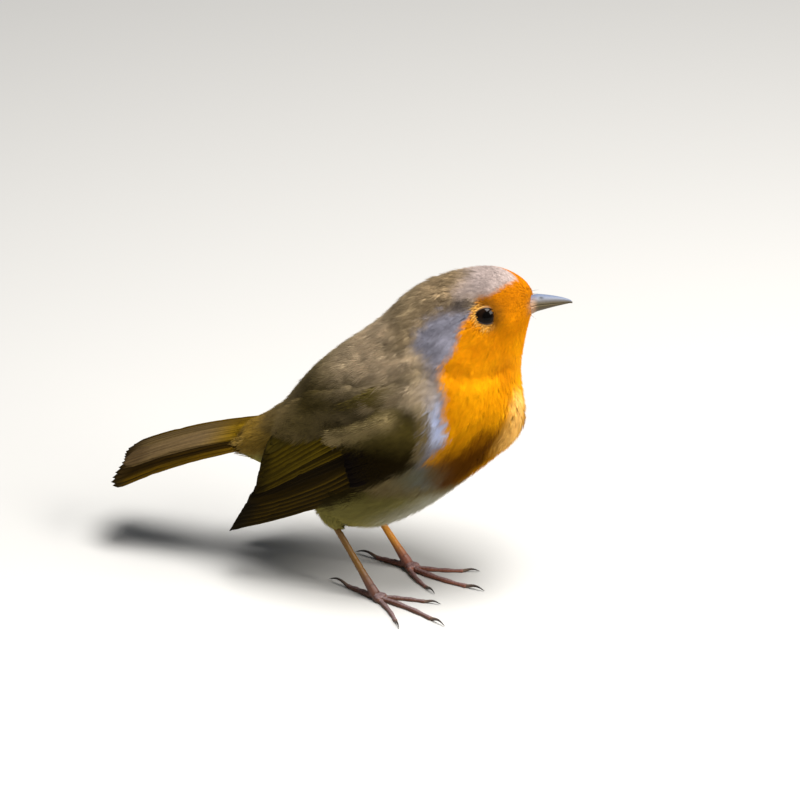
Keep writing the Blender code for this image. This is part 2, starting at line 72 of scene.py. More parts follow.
# %% [markdown]
# ## The camera, the floor and the light
#
# A small bird is looked at from a little above and from a few metres away through a long lens, so
# that its proportions stay true. The camera stands to the bird's right and a bit in front. The
# light is what a museum case has: one wide soft box overhead, which models the round body from
# above and leaves the belly in soft shade, and a weak one in front that keeps the breast warm.

# %% The camera
AZIMUTH, ELEVATION = math.radians(17.0), math.radians(25.0)
FRAMED_HEIGHT = 193.2367 * MM
AIM_RIGHT, AIM_UP = 15.25 * MM, 4.2 * MM
LENS, SENSOR = 500.0, 36.0

back_x, back_y = math.sin(AZIMUTH) * math.cos(ELEVATION), -math.cos(AZIMUTH) * math.cos(ELEVATION)
TO_CAMERA = Vector((back_x, back_y, math.sin(ELEVATION)))
TO_RIGHT = Vector((math.cos(AZIMUTH), math.sin(AZIMUTH), 0.0))
TO_TOP = TO_CAMERA.cross(TO_RIGHT)
aim = (CAD_BOX[0] + CAD_BOX[1]) / 2 + TO_RIGHT * AIM_RIGHT + TO_TOP * AIM_UP


def placed(name, data):
    """A new object in the scene that holds this data."""
    made = bpy.data.objects.new(name, data)
    bpy.context.scene.collection.objects.link(made)
    return made


camera = placed("camera", bpy.data.cameras.new("camera"))
camera.data.lens = LENS
camera.data.sensor_width = SENSOR
camera.data.clip_start, camera.data.clip_end = 0.1, 30.0
camera.location = aim + TO_CAMERA * (FRAMED_HEIGHT * LENS / SENSOR)
camera.rotation_mode = "QUATERNION"
camera.rotation_quaternion = (-TO_CAMERA).to_track_quat("-Z", "Y")
bpy.context.scene.camera = camera
bpy.context.scene.view_settings.view_transform = "Standard"
print("the camera is", round(camera.location.length, 2), "m away and",
      round(camera.location.z, 2), "m above the floor")

# %% Floor and light
def plain_finish(name, colour, roughness):
    """A material with one Principled shader; returns the material and that shader."""
    made = bpy.data.materials.new(name)
    made.use_nodes = True
    shader = made.node_tree.nodes["Principled BSDF"]
    shader.inputs["Base Color"].default_value = (*colour, 1.0)
    shader.inputs["Roughness"].default_value = roughness
    return made, shader


def soft_box(name, place, size, power, colour):
    """A square area light that shines at the middle of the bird."""
    lamp = bpy.data.lights.new(name, "AREA")
    lamp.size = size
    lamp.energy = power
    lamp.color = colour
    made = placed(name, lamp)
    made.location = place
    made.rotation_mode = "QUATERNION"
    made.rotation_quaternion = (LIT_SPOT - made.location).to_track_quat("-Z", "Y")


FLOOR_HALF, LIT_SPOT = 6.0, Vector((0.0, 0.0, 0.045))
floor_mesh = bpy.data.meshes.new("floor")
corners = [(-1, -1), (1, -1), (1, 1), (-1, 1)]
floor_mesh.from_pydata([(x * FLOOR_HALF, y * FLOOR_HALF, 0.0) for x, y in corners], [], [(0, 1, 2, 3)])
floor_mesh.materials.append(plain_finish("floor_paper", (0.40, 0.395, 0.385), 0.9)[0])
placed("floor", floor_mesh)

soft_box("overhead", (0.15, -0.09, 0.70), 0.34, 11.8, (1.0, 0.985, 0.96))
soft_box("front", (0.54, -0.12, 0.46), 0.32, 6.2, (1.0, 0.97, 0.92))
world = bpy.data.worlds.new("studio")
world.use_nodes = True
world.node_tree.nodes["Background"].inputs["Color"].default_value = (0.86, 0.92, 1.0, 1.0)
world.node_tree.nodes["Background"].inputs["Strength"].default_value = 0.16
bpy.context.scene.world = world

# %% [markdown]
# ## Reading the form
#
# Everything below is worked out in millimetres, as a maker would note it, and written to the
# meshes in metres. The bird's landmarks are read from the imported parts: the bill says where the
# face is and how far the head is turned, the eyes say where the lids go, and the middles of the
# parts from bill to tail give a line that the feathers run along.

# %% Landmarks
def read(items, name, width=1, kind=float):
    """One measure of all points, edges, faces or corners of a mesh, as an array."""
    found = np.empty(len(items) * width, kind)
    items.foreach_get(name, found)
    return found.reshape(-1, width) if width > 1 else found


def points_of(mesh):
    """A mesh's points in millimetres."""
    return read(mesh.vertices, "co", 3) / MM


def node_points(name):
    return points_of(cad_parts[name].data)


def middle_of(*names):
    """The middle of the box round these parts."""
    lows, highs = zip(*(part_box(name) for name in names))
    return (np.min(lows, axis=0) + np.max(highs, axis=0)) / 2 / MM


def unit(rows):
    return rows / np.maximum(np.linalg.norm(rows, axis=-1, keepdims=True), 1e-9)


def eased(share):
    """0 to 1 with a soft start and end."""
    share = np.clip(share, 0.0, 1.0)
    return share * share * (3 - 2 * share)


def through(values, steps):
    """A smooth curve through the rows of values, with that many steps between neighbours."""
    rows = np.asarray(values, float)
    rows = np.vstack([2 * rows[0] - rows[1], rows, 2 * rows[-1] - rows[-2]])
    found = []
    for before, start, end, after in zip(rows, rows[1:], rows[2:], rows[3:]):
        t = (np.arange(steps) / steps)[:, None]
        bend = (2 * before - 5 * start + 4 * end - after) * t**2
        twist = (3 * start - before - 3 * end + after) * t**3
        found.append((2 * start + (end - before) * t + bend + twist) / 2)
    return np.vstack([*found, rows[-2:-1]])


def count_of(parts):
    """How many points these arrays hold together, which is where the next part's points begin."""
    return sum(len(part) for part in parts)


SIDES = {"right": -1, "left": 1}
bill = node_points("bill_upper")
bill_root = bill[bill[:, 0] < bill[:, 0].min() + 1.2].mean(axis=0)
bill_tip = bill[bill[:, 0].argmax()]
head_turn = math.atan2(bill_tip[1] - bill_root[1], bill_tip[0] - bill_root[0])
mid_y = middle_of("breast")[1]
EYES = {side: middle_of("eye_" + side) for side in SIDES}
EYE_RADIUS = (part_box("eye_right")[1].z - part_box("eye_right")[0].z) / MM / 2
print("bill root", bill_root.round(1), "tip", bill_tip.round(1), "head turned",
      round(math.degrees(head_turn), 1), "degrees; eye radius", round(EYE_RADIUS, 2), "mm")

# %% Looking straight
NECK_PIVOT_X = 26.4
TURN_FROM_Z, TURN_FULL_Z = 60.0, 72.0


def swung(x, y, angle):
    """Both measures after a turn to the left, seen from above."""
    return x * np.cos(angle) - y * np.sin(angle), x * np.sin(angle) + y * np.cos(angle)


def straightened(points):
    """The points with the head turned back to look ahead, and the bird's mid-plane at y = 0."""
    turn = head_turn * eased((points[:, 2] - TURN_FROM_Z) / (TURN_FULL_Z - TURN_FROM_Z))
    ahead, aside = swung(points[:, 0] - NECK_PIVOT_X, points[:, 1] - mid_y, -turn)
    return np.stack([NECK_PIVOT_X + ahead, aside, points[:, 2]], axis=1)


eye_straight = straightened(np.array([EYES["right"]]))[0]
print("with the head straight the right eye is at", eye_straight.round(1))

# %% The line from bill to tail
SPINE_BLUR = 7.0
knots = [bill_root, middle_of("head"), middle_of("neck"), middle_of("breast", "back"),
         middle_of("rump"), middle_of("tail"), middle_of("tail") * 2 - middle_of("rump")]
SPINE = through(knots, 9)
SPINE_RUN = unit(np.gradient(SPINE, axis=0))
SPINE_RUN[:, 1] *= 0.3
SPINE_RUN = unit(SPINE_RUN)


def along_spine(points):
    """For each point: how far it is from bill (0) to tail (1), the spine there, and its direction."""
    found = []
    for part in np.array_split(points, max(1, len(points) // 20000)):
        far = ((part[:, None, :] - SPINE[None]) ** 2).sum(-1)
        weight = np.exp((far.min(1, keepdims=True) - far) / (2 * SPINE_BLUR**2))
        weight /= weight.sum(1, keepdims=True)
        station = weight @ np.linspace(0, 1, len(SPINE))
        found.append(np.column_stack([station, weight @ SPINE, weight @ SPINE_RUN]))
    found = np.vstack(found)
    return found[:, 0], found[:, 1:4], unit(found[:, 4:7])


print("the spine line has", len(SPINE), "points")

# %% [markdown]
# ## One skin
#
# A real bird has one skin from bill to tail, and so has a museum mount, so the parts of flesh are
# fused here. Booleans would keep the creases between the parts. Voxel remeshing melts them into
# one closed surface of even quads instead, and a little relaxing takes the facets off. Two
# surfaces come out of it: the outer form, which only guides the feathers, and the skin itself,
# which is the form drawn in by the depth of the coat.

# %% Fusing the parts
FLESH = ["head", "neck", "breast", "back", "belly", "rump", "thigh_left", "thigh_right",
         "wing_left_coverts", "wing_right_coverts"]
OUTER = FLESH + ["tail", "wing_left_secondaries", "wing_right_secondaries"]
VOXEL, EYE_FILL = 0.62, 1.01
FUSED_ROUNDS = 14

work = bmesh.new()
bmesh.ops.create_icosphere(work, subdivisions=2, radius=1.0)
BALL = np.array([v.co[:] for v in work.verts])
BALL_FACES = [tuple(v.index for v in face.verts) for face in work.faces]
work.free()


def packed(part):
    """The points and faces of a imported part; the eyes are a hair larger, so that they fuse."""
    own, faces = node_points(part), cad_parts[part].data.polygons
    if part.startswith("eye"):
        own = middle_of(part) + (own - middle_of(part)) * EYE_FILL
    return own, [tuple(face.vertices) for face in faces]


def gathered(shells):
    """Shells of (points, faces) as one array of points and one list of faces."""
    points, faces = [], []
    for own, own_faces in shells:
        start = count_of(points)
        points.append(own)
        faces += [tuple(start + v for v in face) for face in own_faces]
    return np.vstack(points), faces


def fused(name, parts, voxel, rounds, balls=()):
    """One closed mesh round these parts and balls (middle, radius), with the facets relaxed away."""
    shells = [(middle + radius * BALL, BALL_FACES) for middle, radius in balls]
    points, faces = gathered(shells + [packed(part) for part in parts])
    mesh = bpy.data.meshes.new(name)
    mesh.from_pydata((points * MM).tolist(), [], faces)
    made = placed(name, mesh)
    remesh = made.modifiers.new("remesh", "REMESH")
    remesh.mode = "VOXEL"
    remesh.voxel_size = voxel * MM
    ready = as_plain(made)
    place_points(ready, relaxed(points_of(ready), edge_ends(ready), rounds))
    return ready


def as_plain(piece):
    """The evaluated object as a plain mesh; the object is removed."""
    graph = bpy.context.evaluated_depsgraph_get()
    mesh = bpy.data.meshes.new_from_object(piece.evaluated_get(graph), depsgraph=graph)
    bpy.data.objects.remove(piece)
    return mesh


def place_points(mesh, points):
    mesh.vertices.foreach_set("co", (points * MM).ravel())
    mesh.update()


def edge_ends(mesh):
    return read(mesh.edges, "vertices", 2, int)


def neighbour_mean(values, ends):
    """The mean of each vertex's neighbours, for any rows of values."""
    start, end = np.concatenate([ends, ends[:, ::-1]]).T
    count = len(values)
    number = np.bincount(start, minlength=count)[:, None]
    total = [np.bincount(start, weights=column[end], minlength=count) for column in values.T]
    return np.stack(total, axis=1) / np.maximum(number, 1)


def relaxed(points, ends, rounds, share=1.0, pulls=(0.60, -0.61)):
    """Points smoothed where the share is 1; a pull in and a push out in turn keep the volume."""
    for _ in range(rounds):
        for pull in pulls:
            points = points + pull * share * (neighbour_mean(points, ends) - points)
    return points


def normals_of(mesh):
    return read(mesh.vertices, "normal", 3)


eye_parts = ["eye_" + side for side in SIDES]
outer_form = fused("outer_form", OUTER + eye_parts, VOXEL, FUSED_ROUNDS)
skin_mesh = fused("skin", FLESH + eye_parts, VOXEL, FUSED_ROUNDS)
print("outer form", len(outer_form.vertices), "points; skin", len(skin_mesh.vertices), "points")

# %% [markdown]
# ## The folded wing's own surface
#
# A folded wing lies round the body like a sheet wrapped on a tapering tube that points down and
# back. Its feathers are set out on that tube: a place is given as a distance along the tube and
# an arc round it, so a feather keeps its width wherever it lies. The same tube tells which part
# of the skin the wing hides, where no contour feathers are needed.

# %% The wing tube
WING_FALL = math.radians(31.5)
TUBE_START = (16.41, 45.5)
TUBE_RADII = [(-22.0, 17.2), (-12.0, 19.9), (0.0, 21.3), (15.0, 19.9), (31.0, 15.9), (50.0, 11.9)]
WING_EDGE_FRONT = [(21.8, 38.0), (26.4, 43.4), (28.0, 50.2), (25.8, 56.6), (18.4, 61.5)]
WING_EDGE_REAR = [(-24.2, 12.4), (-18.2, 22.0), (-16.4, 30.2), (-15.0, 37.6), (-9.1, 46.0)]
WING_WAY = np.array([-math.cos(WING_FALL), 0.0, -math.sin(WING_FALL)])
TUBE_WAY = WING_WAY[[0, 2]]
TUBE_UP = np.array([-math.sin(WING_FALL), math.cos(WING_FALL)])
WING_ASIDE = 5.0
tube_fine = through(TUBE_RADII, 8)


def tube_radius(along):
    return np.interp(along, tube_fine[:, 0], tube_fine[:, 1])


def on_tube(side_view):
    """Side-view places (x, z) of the wing's outside as (distance along the tube, arc round it)."""
    offset = np.atleast_2d(side_view) - TUBE_START
    along, above = offset @ TUBE_WAY, offset @ TUBE_UP
    radius = tube_radius(along)
    return np.stack([along, radius * np.arcsin(np.clip(above / radius, -0.99, 0.99))], axis=1)


def wing_place(chart, lift, side):
    """Points of the wing from (along, arc) rows and a height above the tube, on one side of the bird."""
    along, arc = chart[:, 0], chart[:, 1]
    radius = tube_radius(along)
    above = (radius + lift) * np.sin(arc / radius)
    out = (radius + lift) * np.cos(arc / radius)
    flat = np.array(TUBE_START) + along[:, None] * TUBE_WAY + above[:, None] * TUBE_UP
    return np.stack([flat[:, 0], mid_y + side * out, flat[:, 1]], axis=1)


def inside_outline(flat, outline):
    """Whether each flat place is inside a closed outline."""
    inside = np.zeros(len(flat), bool)
    for (ax, az), (bx, bz) in zip(outline, np.roll(outline, -1, axis=0)):
        crosses = (az > flat[:, 1]) != (bz > flat[:, 1])
        level = ax + (flat[:, 1] - az) * (bx - ax) / np.where(bz == az, 1e-9, bz - az)
        inside ^= crosses & (flat[:, 0] < level)
    return inside


wing_outline = np.vstack([through(WING_EDGE_FRONT, 6), through(WING_EDGE_REAR, 6)[::-1]])


def outside_tube(points):
    """How far points of the bird stand outside the wing's tube."""
    offset = points[:, [0, 2]] - TUBE_START
    return np.hypot(offset @ TUBE_UP, points[:, 1] - mid_y) - tube_radius(offset @ TUBE_WAY)


def under_wing(points, margin):
    """Whether a point of the skin is covered by a folded wing."""
    covered = inside_outline(points[:, [0, 2]], wing_outline)
    return covered & (outside_tube(points) < -margin) & (np.abs(points[:, 1] - mid_y) > WING_ASIDE)


packed_wing = np.vstack([node_points("wing_right_" + part) for part in ("secondaries", "primaries")])
print("the packed wing stands at most", round(outside_tube(packed_wing).max(), 2), "mm outside the tube")

# %% [markdown]
# ### Folds of the plumage
#
# Soft plumage isn't a smooth egg. Where the bird bends its neck a fold runs across the throat,
# the feathers of the left breast bulge past it as a separate lobe, and those of the shoulder make
# a soft roll over the front of the wing. Each is a groove or a roll along a few given points,
# pressed into both surfaces before anything is laid on them.

# %% Folds
def near_curve(points, curve, width):
    """1 on the curve, fading to 0 about a width away from it."""
    fine = through(curve, 8)
    far = np.full(len(points), np.inf)
    for spot in fine:
        far = np.minimum(far, ((points - spot) ** 2).sum(1))
    return np.exp(-far / width**2)


THROAT_FOLD = [(31.0, -12.1, 64.3), (35.6, -10.7, 62.5), (39.8, -7.8, 62.0), (44.0, -2.5, 62.4)]
LOBE_CREASE = [(44.8, -1.4, 53.5), (44.1, -2.9, 49.5), (42.5, -4.3, 45.1), (40.6, -4.9, 41.6)]
LOBE_BULGE = [(45.0, 2.0, 51.5), (45.0, 0.9, 47.0), (42.9, 0.2, 42.4)]
SCAPULAR_ROLL = [(24.5, -15.0, 60.0), (16.5, -15.0, 57.8), (6.0, -13.6, 54.4), (-4.0, -9.6, 50.6)]
WING_CHANNEL = [(19.8, -16.7, 56.1), (14.8, -17.1, 54.0), (8.4, -16.7, 51.0), (0.2, -14.7, 48.2)]
COVERT_RIDGE = [(19.5, -17.8, 52.6), (14.0, -17.9, 50.4), (7.4, -17.4, 47.3), (2.1, -16.6, 44.8)]
TAIL_UNDERSIDE = [(-12.0, -4.5, 31.0), (-17.0, -4.0, 30.5), (-21.5, -3.2, 29.6), (-24.5, -2.4, 29.4)]
FOLDS = [
    # curve, width, height, on both sides
    (THROAT_FOLD, 1.7, -0.55, True), (LOBE_CREASE, 1.2, -1.1, False), (LOBE_BULGE, 2.8, 0.9, False),
    (SCAPULAR_ROLL, 2.4, 0.55, True), (WING_CHANNEL, 1.3, -0.75, True), (COVERT_RIDGE, 2.0, 0.55, True),
    (TAIL_UNDERSIDE, 3.0, 0.9, True),
]
EDGE_WIDTH, EDGE_ROUNDS = 3.4, 26


def folded(mesh):
    """The mesh's points with the wing's front edge melted in and the folds pressed in."""
    points, ends = points_of(mesh), edge_ends(mesh)
    edge = np.array(WING_EDGE_FRONT[:4])
    for side in SIDES.values():
        curve = wing_place(on_tube(edge), 0.0, side)
        share = near_curve(points, curve, EDGE_WIDTH)[:, None]
        points = relaxed(points, ends, EDGE_ROUNDS, share, pulls=(0.6,))
    place_points(mesh, points)
    normals = normals_of(mesh)
    moved = points.copy()
    for curve, width, height, both in FOLDS:
        curve = np.array(curve)
        share = near_curve(points, curve, width)
        if both:
            mirrored = curve * (1, -1, 1) + (0, 2 * mid_y, 0)
            share = np.maximum(share, near_curve(points, mirrored, width))
        moved += normals * (height * share)[:, None]
    return moved


for mesh in (outer_form, skin_mesh):
    place_points(mesh, folded(mesh))
print(len(FOLDS), "folds pressed in")

# %% [markdown]
# ## How the coat lies
#
# Contour feathers start at the bill, run back over the head, down the throat and along the body
# to the tail, and part round the eyes. So the lie is worked out, not painted: it is the direction
# of the spine line laid on the surface, bent away from the bill on the face and away from the
# eyes. The coat's depth and the feathers' length grow with the distance from the bill, because
# the smallest feathers of a bird are on its face.

# %% The lie of the feathers
FACE_REACH, FACE_PUSH = 11.0, 1.8
EYE_REACH, EYE_PUSH = 1.5, 0.8
THIGH_WAY = np.array([0.25, 0.0, -1.0])
COAT_LEAST, COAT_MORE, COAT_BELOW = 0.36, 1.05, 0.5
FEATHER_LEAST, FEATHER_MOST = 1.2, 5.6


def from_eyes(points):
    """Distance from the nearer eyeball's surface, and the direction away from it."""
    gaps, ways = [], []
    for centre in EYES.values():
        away = points - centre
        gaps.append(np.linalg.norm(away, axis=1) - EYE_RADIUS)
        ways.append(unit(away))
    nearer = gaps[0] < gaps[1]
    return np.where(nearer, *gaps), np.where(nearer[:, None], *ways)


def lie_of(points, normals, on_wing, on_thigh):
    """The way the feathers point at each place of the surface."""
    _, _, run = along_spine(points)
    away = points - bill_root
    near = np.linalg.norm(away, axis=1, keepdims=True)
    flow = run + FACE_PUSH * np.exp(-((near / FACE_REACH) ** 2)) * away / near
    gap, way = from_eyes(points)
    flow += (EYE_PUSH * np.exp(-((gap / EYE_REACH) ** 2)))[:, None] * way
    flow += (WING_WAY - flow) * on_wing[:, None]
    flow += (THIGH_WAY - flow) * on_thigh[:, None]
    flow -= normals * (flow * normals).sum(1, keepdims=True)
    return unit(flow)


def coat_depth(points, normals):
    """How far the feathers lift the outline off the skin, in millimetres."""
    near = np.linalg.norm(points - bill_root, axis=1)
    downward = eased((-normals[:, 2] + 0.2) / 0.9)
    depth = COAT_LEAST + COAT_MORE * eased((near - 3) / 26) + COAT_BELOW * downward
    gap, _ = from_eyes(points)
    return np.minimum(depth, 0.30 + 0.35 * np.maximum(gap, 0))


def feather_length(points):
    """The length of a contour feather rooted at each place, in millimetres."""
    near = np.linalg.norm(points - bill_root, axis=1)
    gap, _ = from_eyes(points)
    length = np.clip(0.95 + 0.105 * near, FEATHER_LEAST, FEATHER_MOST)
    return np.minimum(length, 0.62 + 0.70 * np.maximum(gap, 0))


print("the flow away from the bill reaches about", FACE_REACH, "mm")

# %% Which tract a place belongs to
tract_points, tract_faces = gathered(packed(part) for part in FLESH)
tract_of_face = np.repeat(np.arange(len(FLESH)), [len(packed(part)[1]) for part in FLESH])
tract_tree = BVHTree.FromPolygons(tract_points.tolist(), tract_faces)
skin_points, skin_normals, skin_ends = points_of(skin_mesh), normals_of(skin_mesh), edge_ends(skin_mesh)
skin_tract = np.array([tract_of_face[tract_tree.find_nearest(p)[2]] for p in skin_points.tolist()])
COVERTS, THIGHS = ("wing_left_coverts", "wing_right_coverts"), ("thigh_left", "thigh_right")


def grown_on(*names):
    """Whether each point of the skin is nearest to one of these parts."""
    return np.isin(skin_tract, [FLESH.index(name) for name in names])


def share_on(*names):
    """1 on the named parts and 0 off them, with a soft edge a few points wide."""
    share = grown_on(*names).astype(float)[:, None]
    return relaxed(share, skin_ends, 4, pulls=(0.5,))[:, 0]


on_wing, on_thigh = share_on(*COVERTS), share_on(*THIGHS)
skin_lie = lie_of(skin_points, skin_normals, on_wing, on_thigh)
skin_coat = coat_depth(skin_points, skin_normals)
print("coat depth", skin_coat.min().round(2), "to", skin_coat.max().round(2), "mm;",
      {name: int((skin_tract == k).sum()) for k, name in enumerate(FLESH)})

# %% [markdown]
# ## The colours of a robin
#
# The colour of each feather is a rule about its place on the bird. The rust-orange face and
# breast have one outline in side view, the same on both sides. A blue-grey band follows it down
# the side of the neck to the front of the wing. Above is olive brown, warmer on the rump and
# pinker on the crown, and below is dull white. The edges are soft by about a feather's width. Each
# field is a short function of place, and one rule lays them over each other for skin and coat
# alike, so the two can't disagree.

# %% Brushes
def signed_gap(flat, outline):
    """Distance to a closed outline in side view, negative inside it."""
    outline = np.asarray(outline, float)
    gap = np.full(len(flat), np.inf)
    for start, end in zip(outline, np.roll(outline, -1, axis=0)):
        way = end - start
        share = np.clip((flat - start) @ way / (way @ way), 0, 1)
        gap = np.minimum(gap, np.linalg.norm(flat - start - share[:, None] * way, axis=1))
    return np.where(inside_outline(flat, outline), -gap, gap)


def soft_inside(gap, width):
    """1 inside an outline and 0 outside, with an edge of that width."""
    return eased(0.5 - gap / width)


def fade(values, start, length):
    """0 up to the start and 1 a length further on; a negative length fades the other way."""
    return eased((values - start) / length)


def touched(points, spots, width):
    """1 on a stroke through the spots, fading out; spots of two numbers hold in side view."""
    spots = np.array(spots, float)
    if spots.shape[1] == 2:
        spots, points = np.insert(spots, 1, 0.0, axis=1), points * (1, 0, 1)
    if len(spots) > 1:
        return near_curve(points, spots, width)
    return np.exp(-((points - spots[0]) ** 2).sum(1) / width**2)


def painted(base, colour, share):
    """The base colour, or rows of them, taken towards another colour by a share for each row."""
    base = np.array(base)
    return base + (np.array(colour) - base) * np.reshape(np.clip(share, 0, 1), (-1, 1))


def stroked(base, points, strokes):
    """The base with brush strokes on it: each is a colour, a strength, a width and its spots."""
    for colour, strength, width, spots in strokes:
        base = painted(base, colour, strength * touched(points, spots, width))
    return base


def waves(points, size, seed):
    """Slow cloudy variation between -1 and 1, from a few crossed waves of that size."""
    draw = np.random.default_rng(seed)
    total = np.zeros(len(points))
    for _ in range(7):
        way = unit(draw.normal(size=3)) * draw.uniform(0.7, 1.5) * 2 * math.pi / size
        total += np.sin(points @ way + draw.uniform(0, 2 * math.pi))
    return total / 3.2


FLOW, FLOW_STRETCH = np.array([-0.85, 0.0, -0.53]), 0.62


def drawn_out(points):
    """The points squeezed along the way the feathers run, which makes a pattern on them streaky."""
    return points - FLOW_STRETCH * (points @ FLOW)[:, None] * FLOW


print("streaks are about", round(1 / (1 - FLOW_STRETCH * float(FLOW @ FLOW)), 1), "times as long as wide")

# %% [markdown]
# ### Brown above
#
# The upper side is olive brown, with painted light where the light falls on the mantle and the
# crown, and painted shade in the hollows between shoulder, back and wing. These painted lights and
# shades are brush strokes: one list of colour, strength, width and the few spots that a stroke
# runs through, in millimetres.

# %% The upper side
# The dark olive is painted shade for the hollows, and the light browns of back, shoulder and nape are
# painted light.
OLIVE, SHADE_OLIVE = (0.18, 0.132, 0.056), (0.024, 0.017, 0.002)
BACK_HIGHLIGHT, SHOULDER_HIGHLIGHT = (0.60, 0.455, 0.285), (0.66, 0.50, 0.32)
NAPE, NAPE_HIGHLIGHT, CROWN = (0.255, 0.18, 0.10), (0.37, 0.275, 0.155), (0.36, 0.29, 0.265)
RUMP, TAIL_WARM = (0.17, 0.12, 0.05), (0.29, 0.165, 0.012)
# The channel's near black is painted shade in the groove over the wing; the wing shade is painted shade too.
CHANNEL_SHADE, WING_SHADE = (0.014, 0.010, 0.001), (0.036, 0.026, 0.004)
# A painted shadow below the edges of the folded wing.
WING_EDGE_SHADOW = (0.045, 0.032, 0.004)

# Painted light where the light falls on the back, mantle, nape and shoulder.
LIT_BACK = [(BACK_HIGHLIGHT, 0.95, 8.5, [(7.5, 61.0)])]
LIT_MANTLE = [
    (SHOULDER_HIGHLIGHT, 0.95, 3.2, [(13.5, 69.0), (10.0, 64.5), (14.0, 62.8), (19.5, 64.2), (23.0, 67.0)]),
    (NAPE_HIGHLIGHT, 0.85, 5.2, [(18.5, 74.5)])]
LIT_SHOULDER = (SHOULDER_HIGHLIGHT, 0.42, 2.4, [(18.0, 56.0), (20.0, 57.0), (22.0, 57.4)])
# Painted shade in the hollows of the scapulars and on the wing's top, with painted light along the shoulder.
SCAPULAR_LIGHT_AND_SHADE = [
    (SHADE_OLIVE, 0.95, 4.0, [(9.0, 54.2), (3.0, 52.7), (-5.0, 50.8)]),
    (SHADE_OLIVE, 0.45, 1.9, [(7.0, 56.8), (12.5, 58.2), (17.0, 59.2), (21.5, 60.0)]),
    LIT_SHOULDER,
    (WING_SHADE, 0.65, 3.4, [(-11.5, 40.5), (-8.5, 44.6), (-2.5, 45.6)])]
CHANNEL = [(24.6, 19.3, 54.4), (17.7, 19.8, 54.1), (8.6, 19.7, 49.3), (2.0, 18.0, 47.3)]
# Painted shade in the wing's channel and a painted shadow between wing and rump, then the tail's own warm
# base.
LAST_STROKES = [
    (CHANNEL_SHADE, 0.9, 2.3, CHANNEL),
    (WING_EDGE_SHADOW, 0.9, 3.2, [(-14.0, 8.5, 40.8), (-15.5, 8.0, 38.5), (-17.0, 7.0, 33.0)]),
    (TAIL_WARM, 0.95, 6.5, [(-20.5, 1.5, 35.5)])]


def brown_above(own, fine):
    """The browns above: nape, mantle, rump, scapulars and crown, with painted light and shade."""
    ahead, height = own[:, 0], own[:, 2]
    colour = stroked(OLIVE, own, LIT_BACK)
    colour = painted(colour, NAPE, fade(height, 64, 9))
    colour = stroked(colour, own, LIT_MANTLE)
    colour = painted(colour, RUMP, fade(ahead, 0, -12))
    colour = stroked(colour, own, SCAPULAR_LIGHT_AND_SHADE)
    colour = painted(colour, CROWN, fade(height, 78.0, 4.0) * fade(ahead + 0.8 * fine, 28.5, 6))
    return stroked(colour, own, LAST_STROKES)


print("strokes above:", len(LIT_BACK + LIT_MANTLE + SCAPULAR_LIGHT_AND_SHADE + LAST_STROKES))

# %% [markdown]
# ### White below
#
# Belly and vent are dull white, greener towards the tail and on the flanks, with a warm buff
# between the legs and the tail. The lowest feathers of the folded wing shade the flank, and this
# narrow shade is painted too, because soft studio light would wash it out.

# %% The underside
# The white is set darker than the belly's own white: painted shade on the underside, which faces down.
WHITE, OLIVE_WHITE, BUFF = (0.42, 0.40, 0.31), (0.33, 0.285, 0.07), (0.55, 0.48, 0.33)
FLANK, SHADED_FLANK = (0.185, 0.158, 0.042), (0.155, 0.155, 0.10)
# Painted shade on the flank below the front of the wing.
FLANK_SHADE_STROKE = (SHADED_FLANK, 0.85, 4.8, [(24.5, 15.0, 36.8)])
WING_FOOT = [(19.0, 33.6), (8.0, 30.8), (-2.0, 26.6), (-8.0, 22.6)]
WHITE_LINE, WHITE_EDGE = 32.5, 3.5


def white_below(own):
    """The dull whites of the underside, with the painted shadow below the wing's lower edge."""
    ahead, aside = own[:, 0], own[:, 1]
    colour = painted(OLIVE_WHITE, WHITE, fade(ahead, 6, 12))
    colour = painted(colour, FLANK, fade(aside, 6.0, 8))
    colour = painted(colour, BUFF, fade(ahead, -9, -5) * fade(aside, 4.5, -2))
    # Painted shadow of the wing's lower edge on the flank.
    return painted(colour, WING_EDGE_SHADOW, 0.8 * touched(own, WING_FOOT, 2.6) * fade(aside, 8, 4))


def below_share(own, edge):
    """1 on the underside and 0 above: the line between them drops towards the tail."""
    ahead = own[:, 0]
    line = WHITE_LINE - 0.10 * (ahead - 4.0) - 0.25 * np.maximum(0, -5 - ahead) + edge
    return soft_inside(own[:, 2] - line, WHITE_EDGE)


print("the white begins", WHITE_LINE, "mm above the floor at the legs")

# %% [markdown]
# ### The blue-grey border
#
# A band of blue-grey runs from behind the eye down the side of the neck and round the orange
# breast. It has an outline of its own in side view. It is palest where it passes the front of the
# wing and sinks into shade below.

# %% The border
GREY_EDGE = [(35.0, 77.3), (31.0, 78.0), (27.6, 77.0), (24.2, 74.6), (21.6, 71.2), (22.6, 68.0),
             (25.4, 65.6), (26.2, 60.6), (27.6, 55.0), (27.6, 48.0), (25.8, 43.0), (23.6, 38.0),
             (24.0, 34.0), (29.0, 34.0), (32.0, 44.0), (32.5, 60.0), (32.0, 66.0), (34.5, 74.0)]
BLUE_GREY, PALE_GREY, GREY_SHADE = (0.285, 0.277, 0.335), (0.60, 0.66, 0.90), (0.24, 0.23, 0.27)
# The tan is painted light on the bend of the wing; the eye spot is painted shade in the crease behind the
# eye.
MAUVE_SHADE, TAN_HIGHLIGHT, EYE_CREASE_SHADE = (0.15, 0.12, 0.115), (0.62, 0.49, 0.35), (0.028, 0.025, 0.028)
GREY_SOFT = 3.6
# Painted shade on the shoulder.
SHOULDER_SHADE = [(MAUVE_SHADE, 0.85, 3.2, [(26.6, 15.5, 63.6)])]
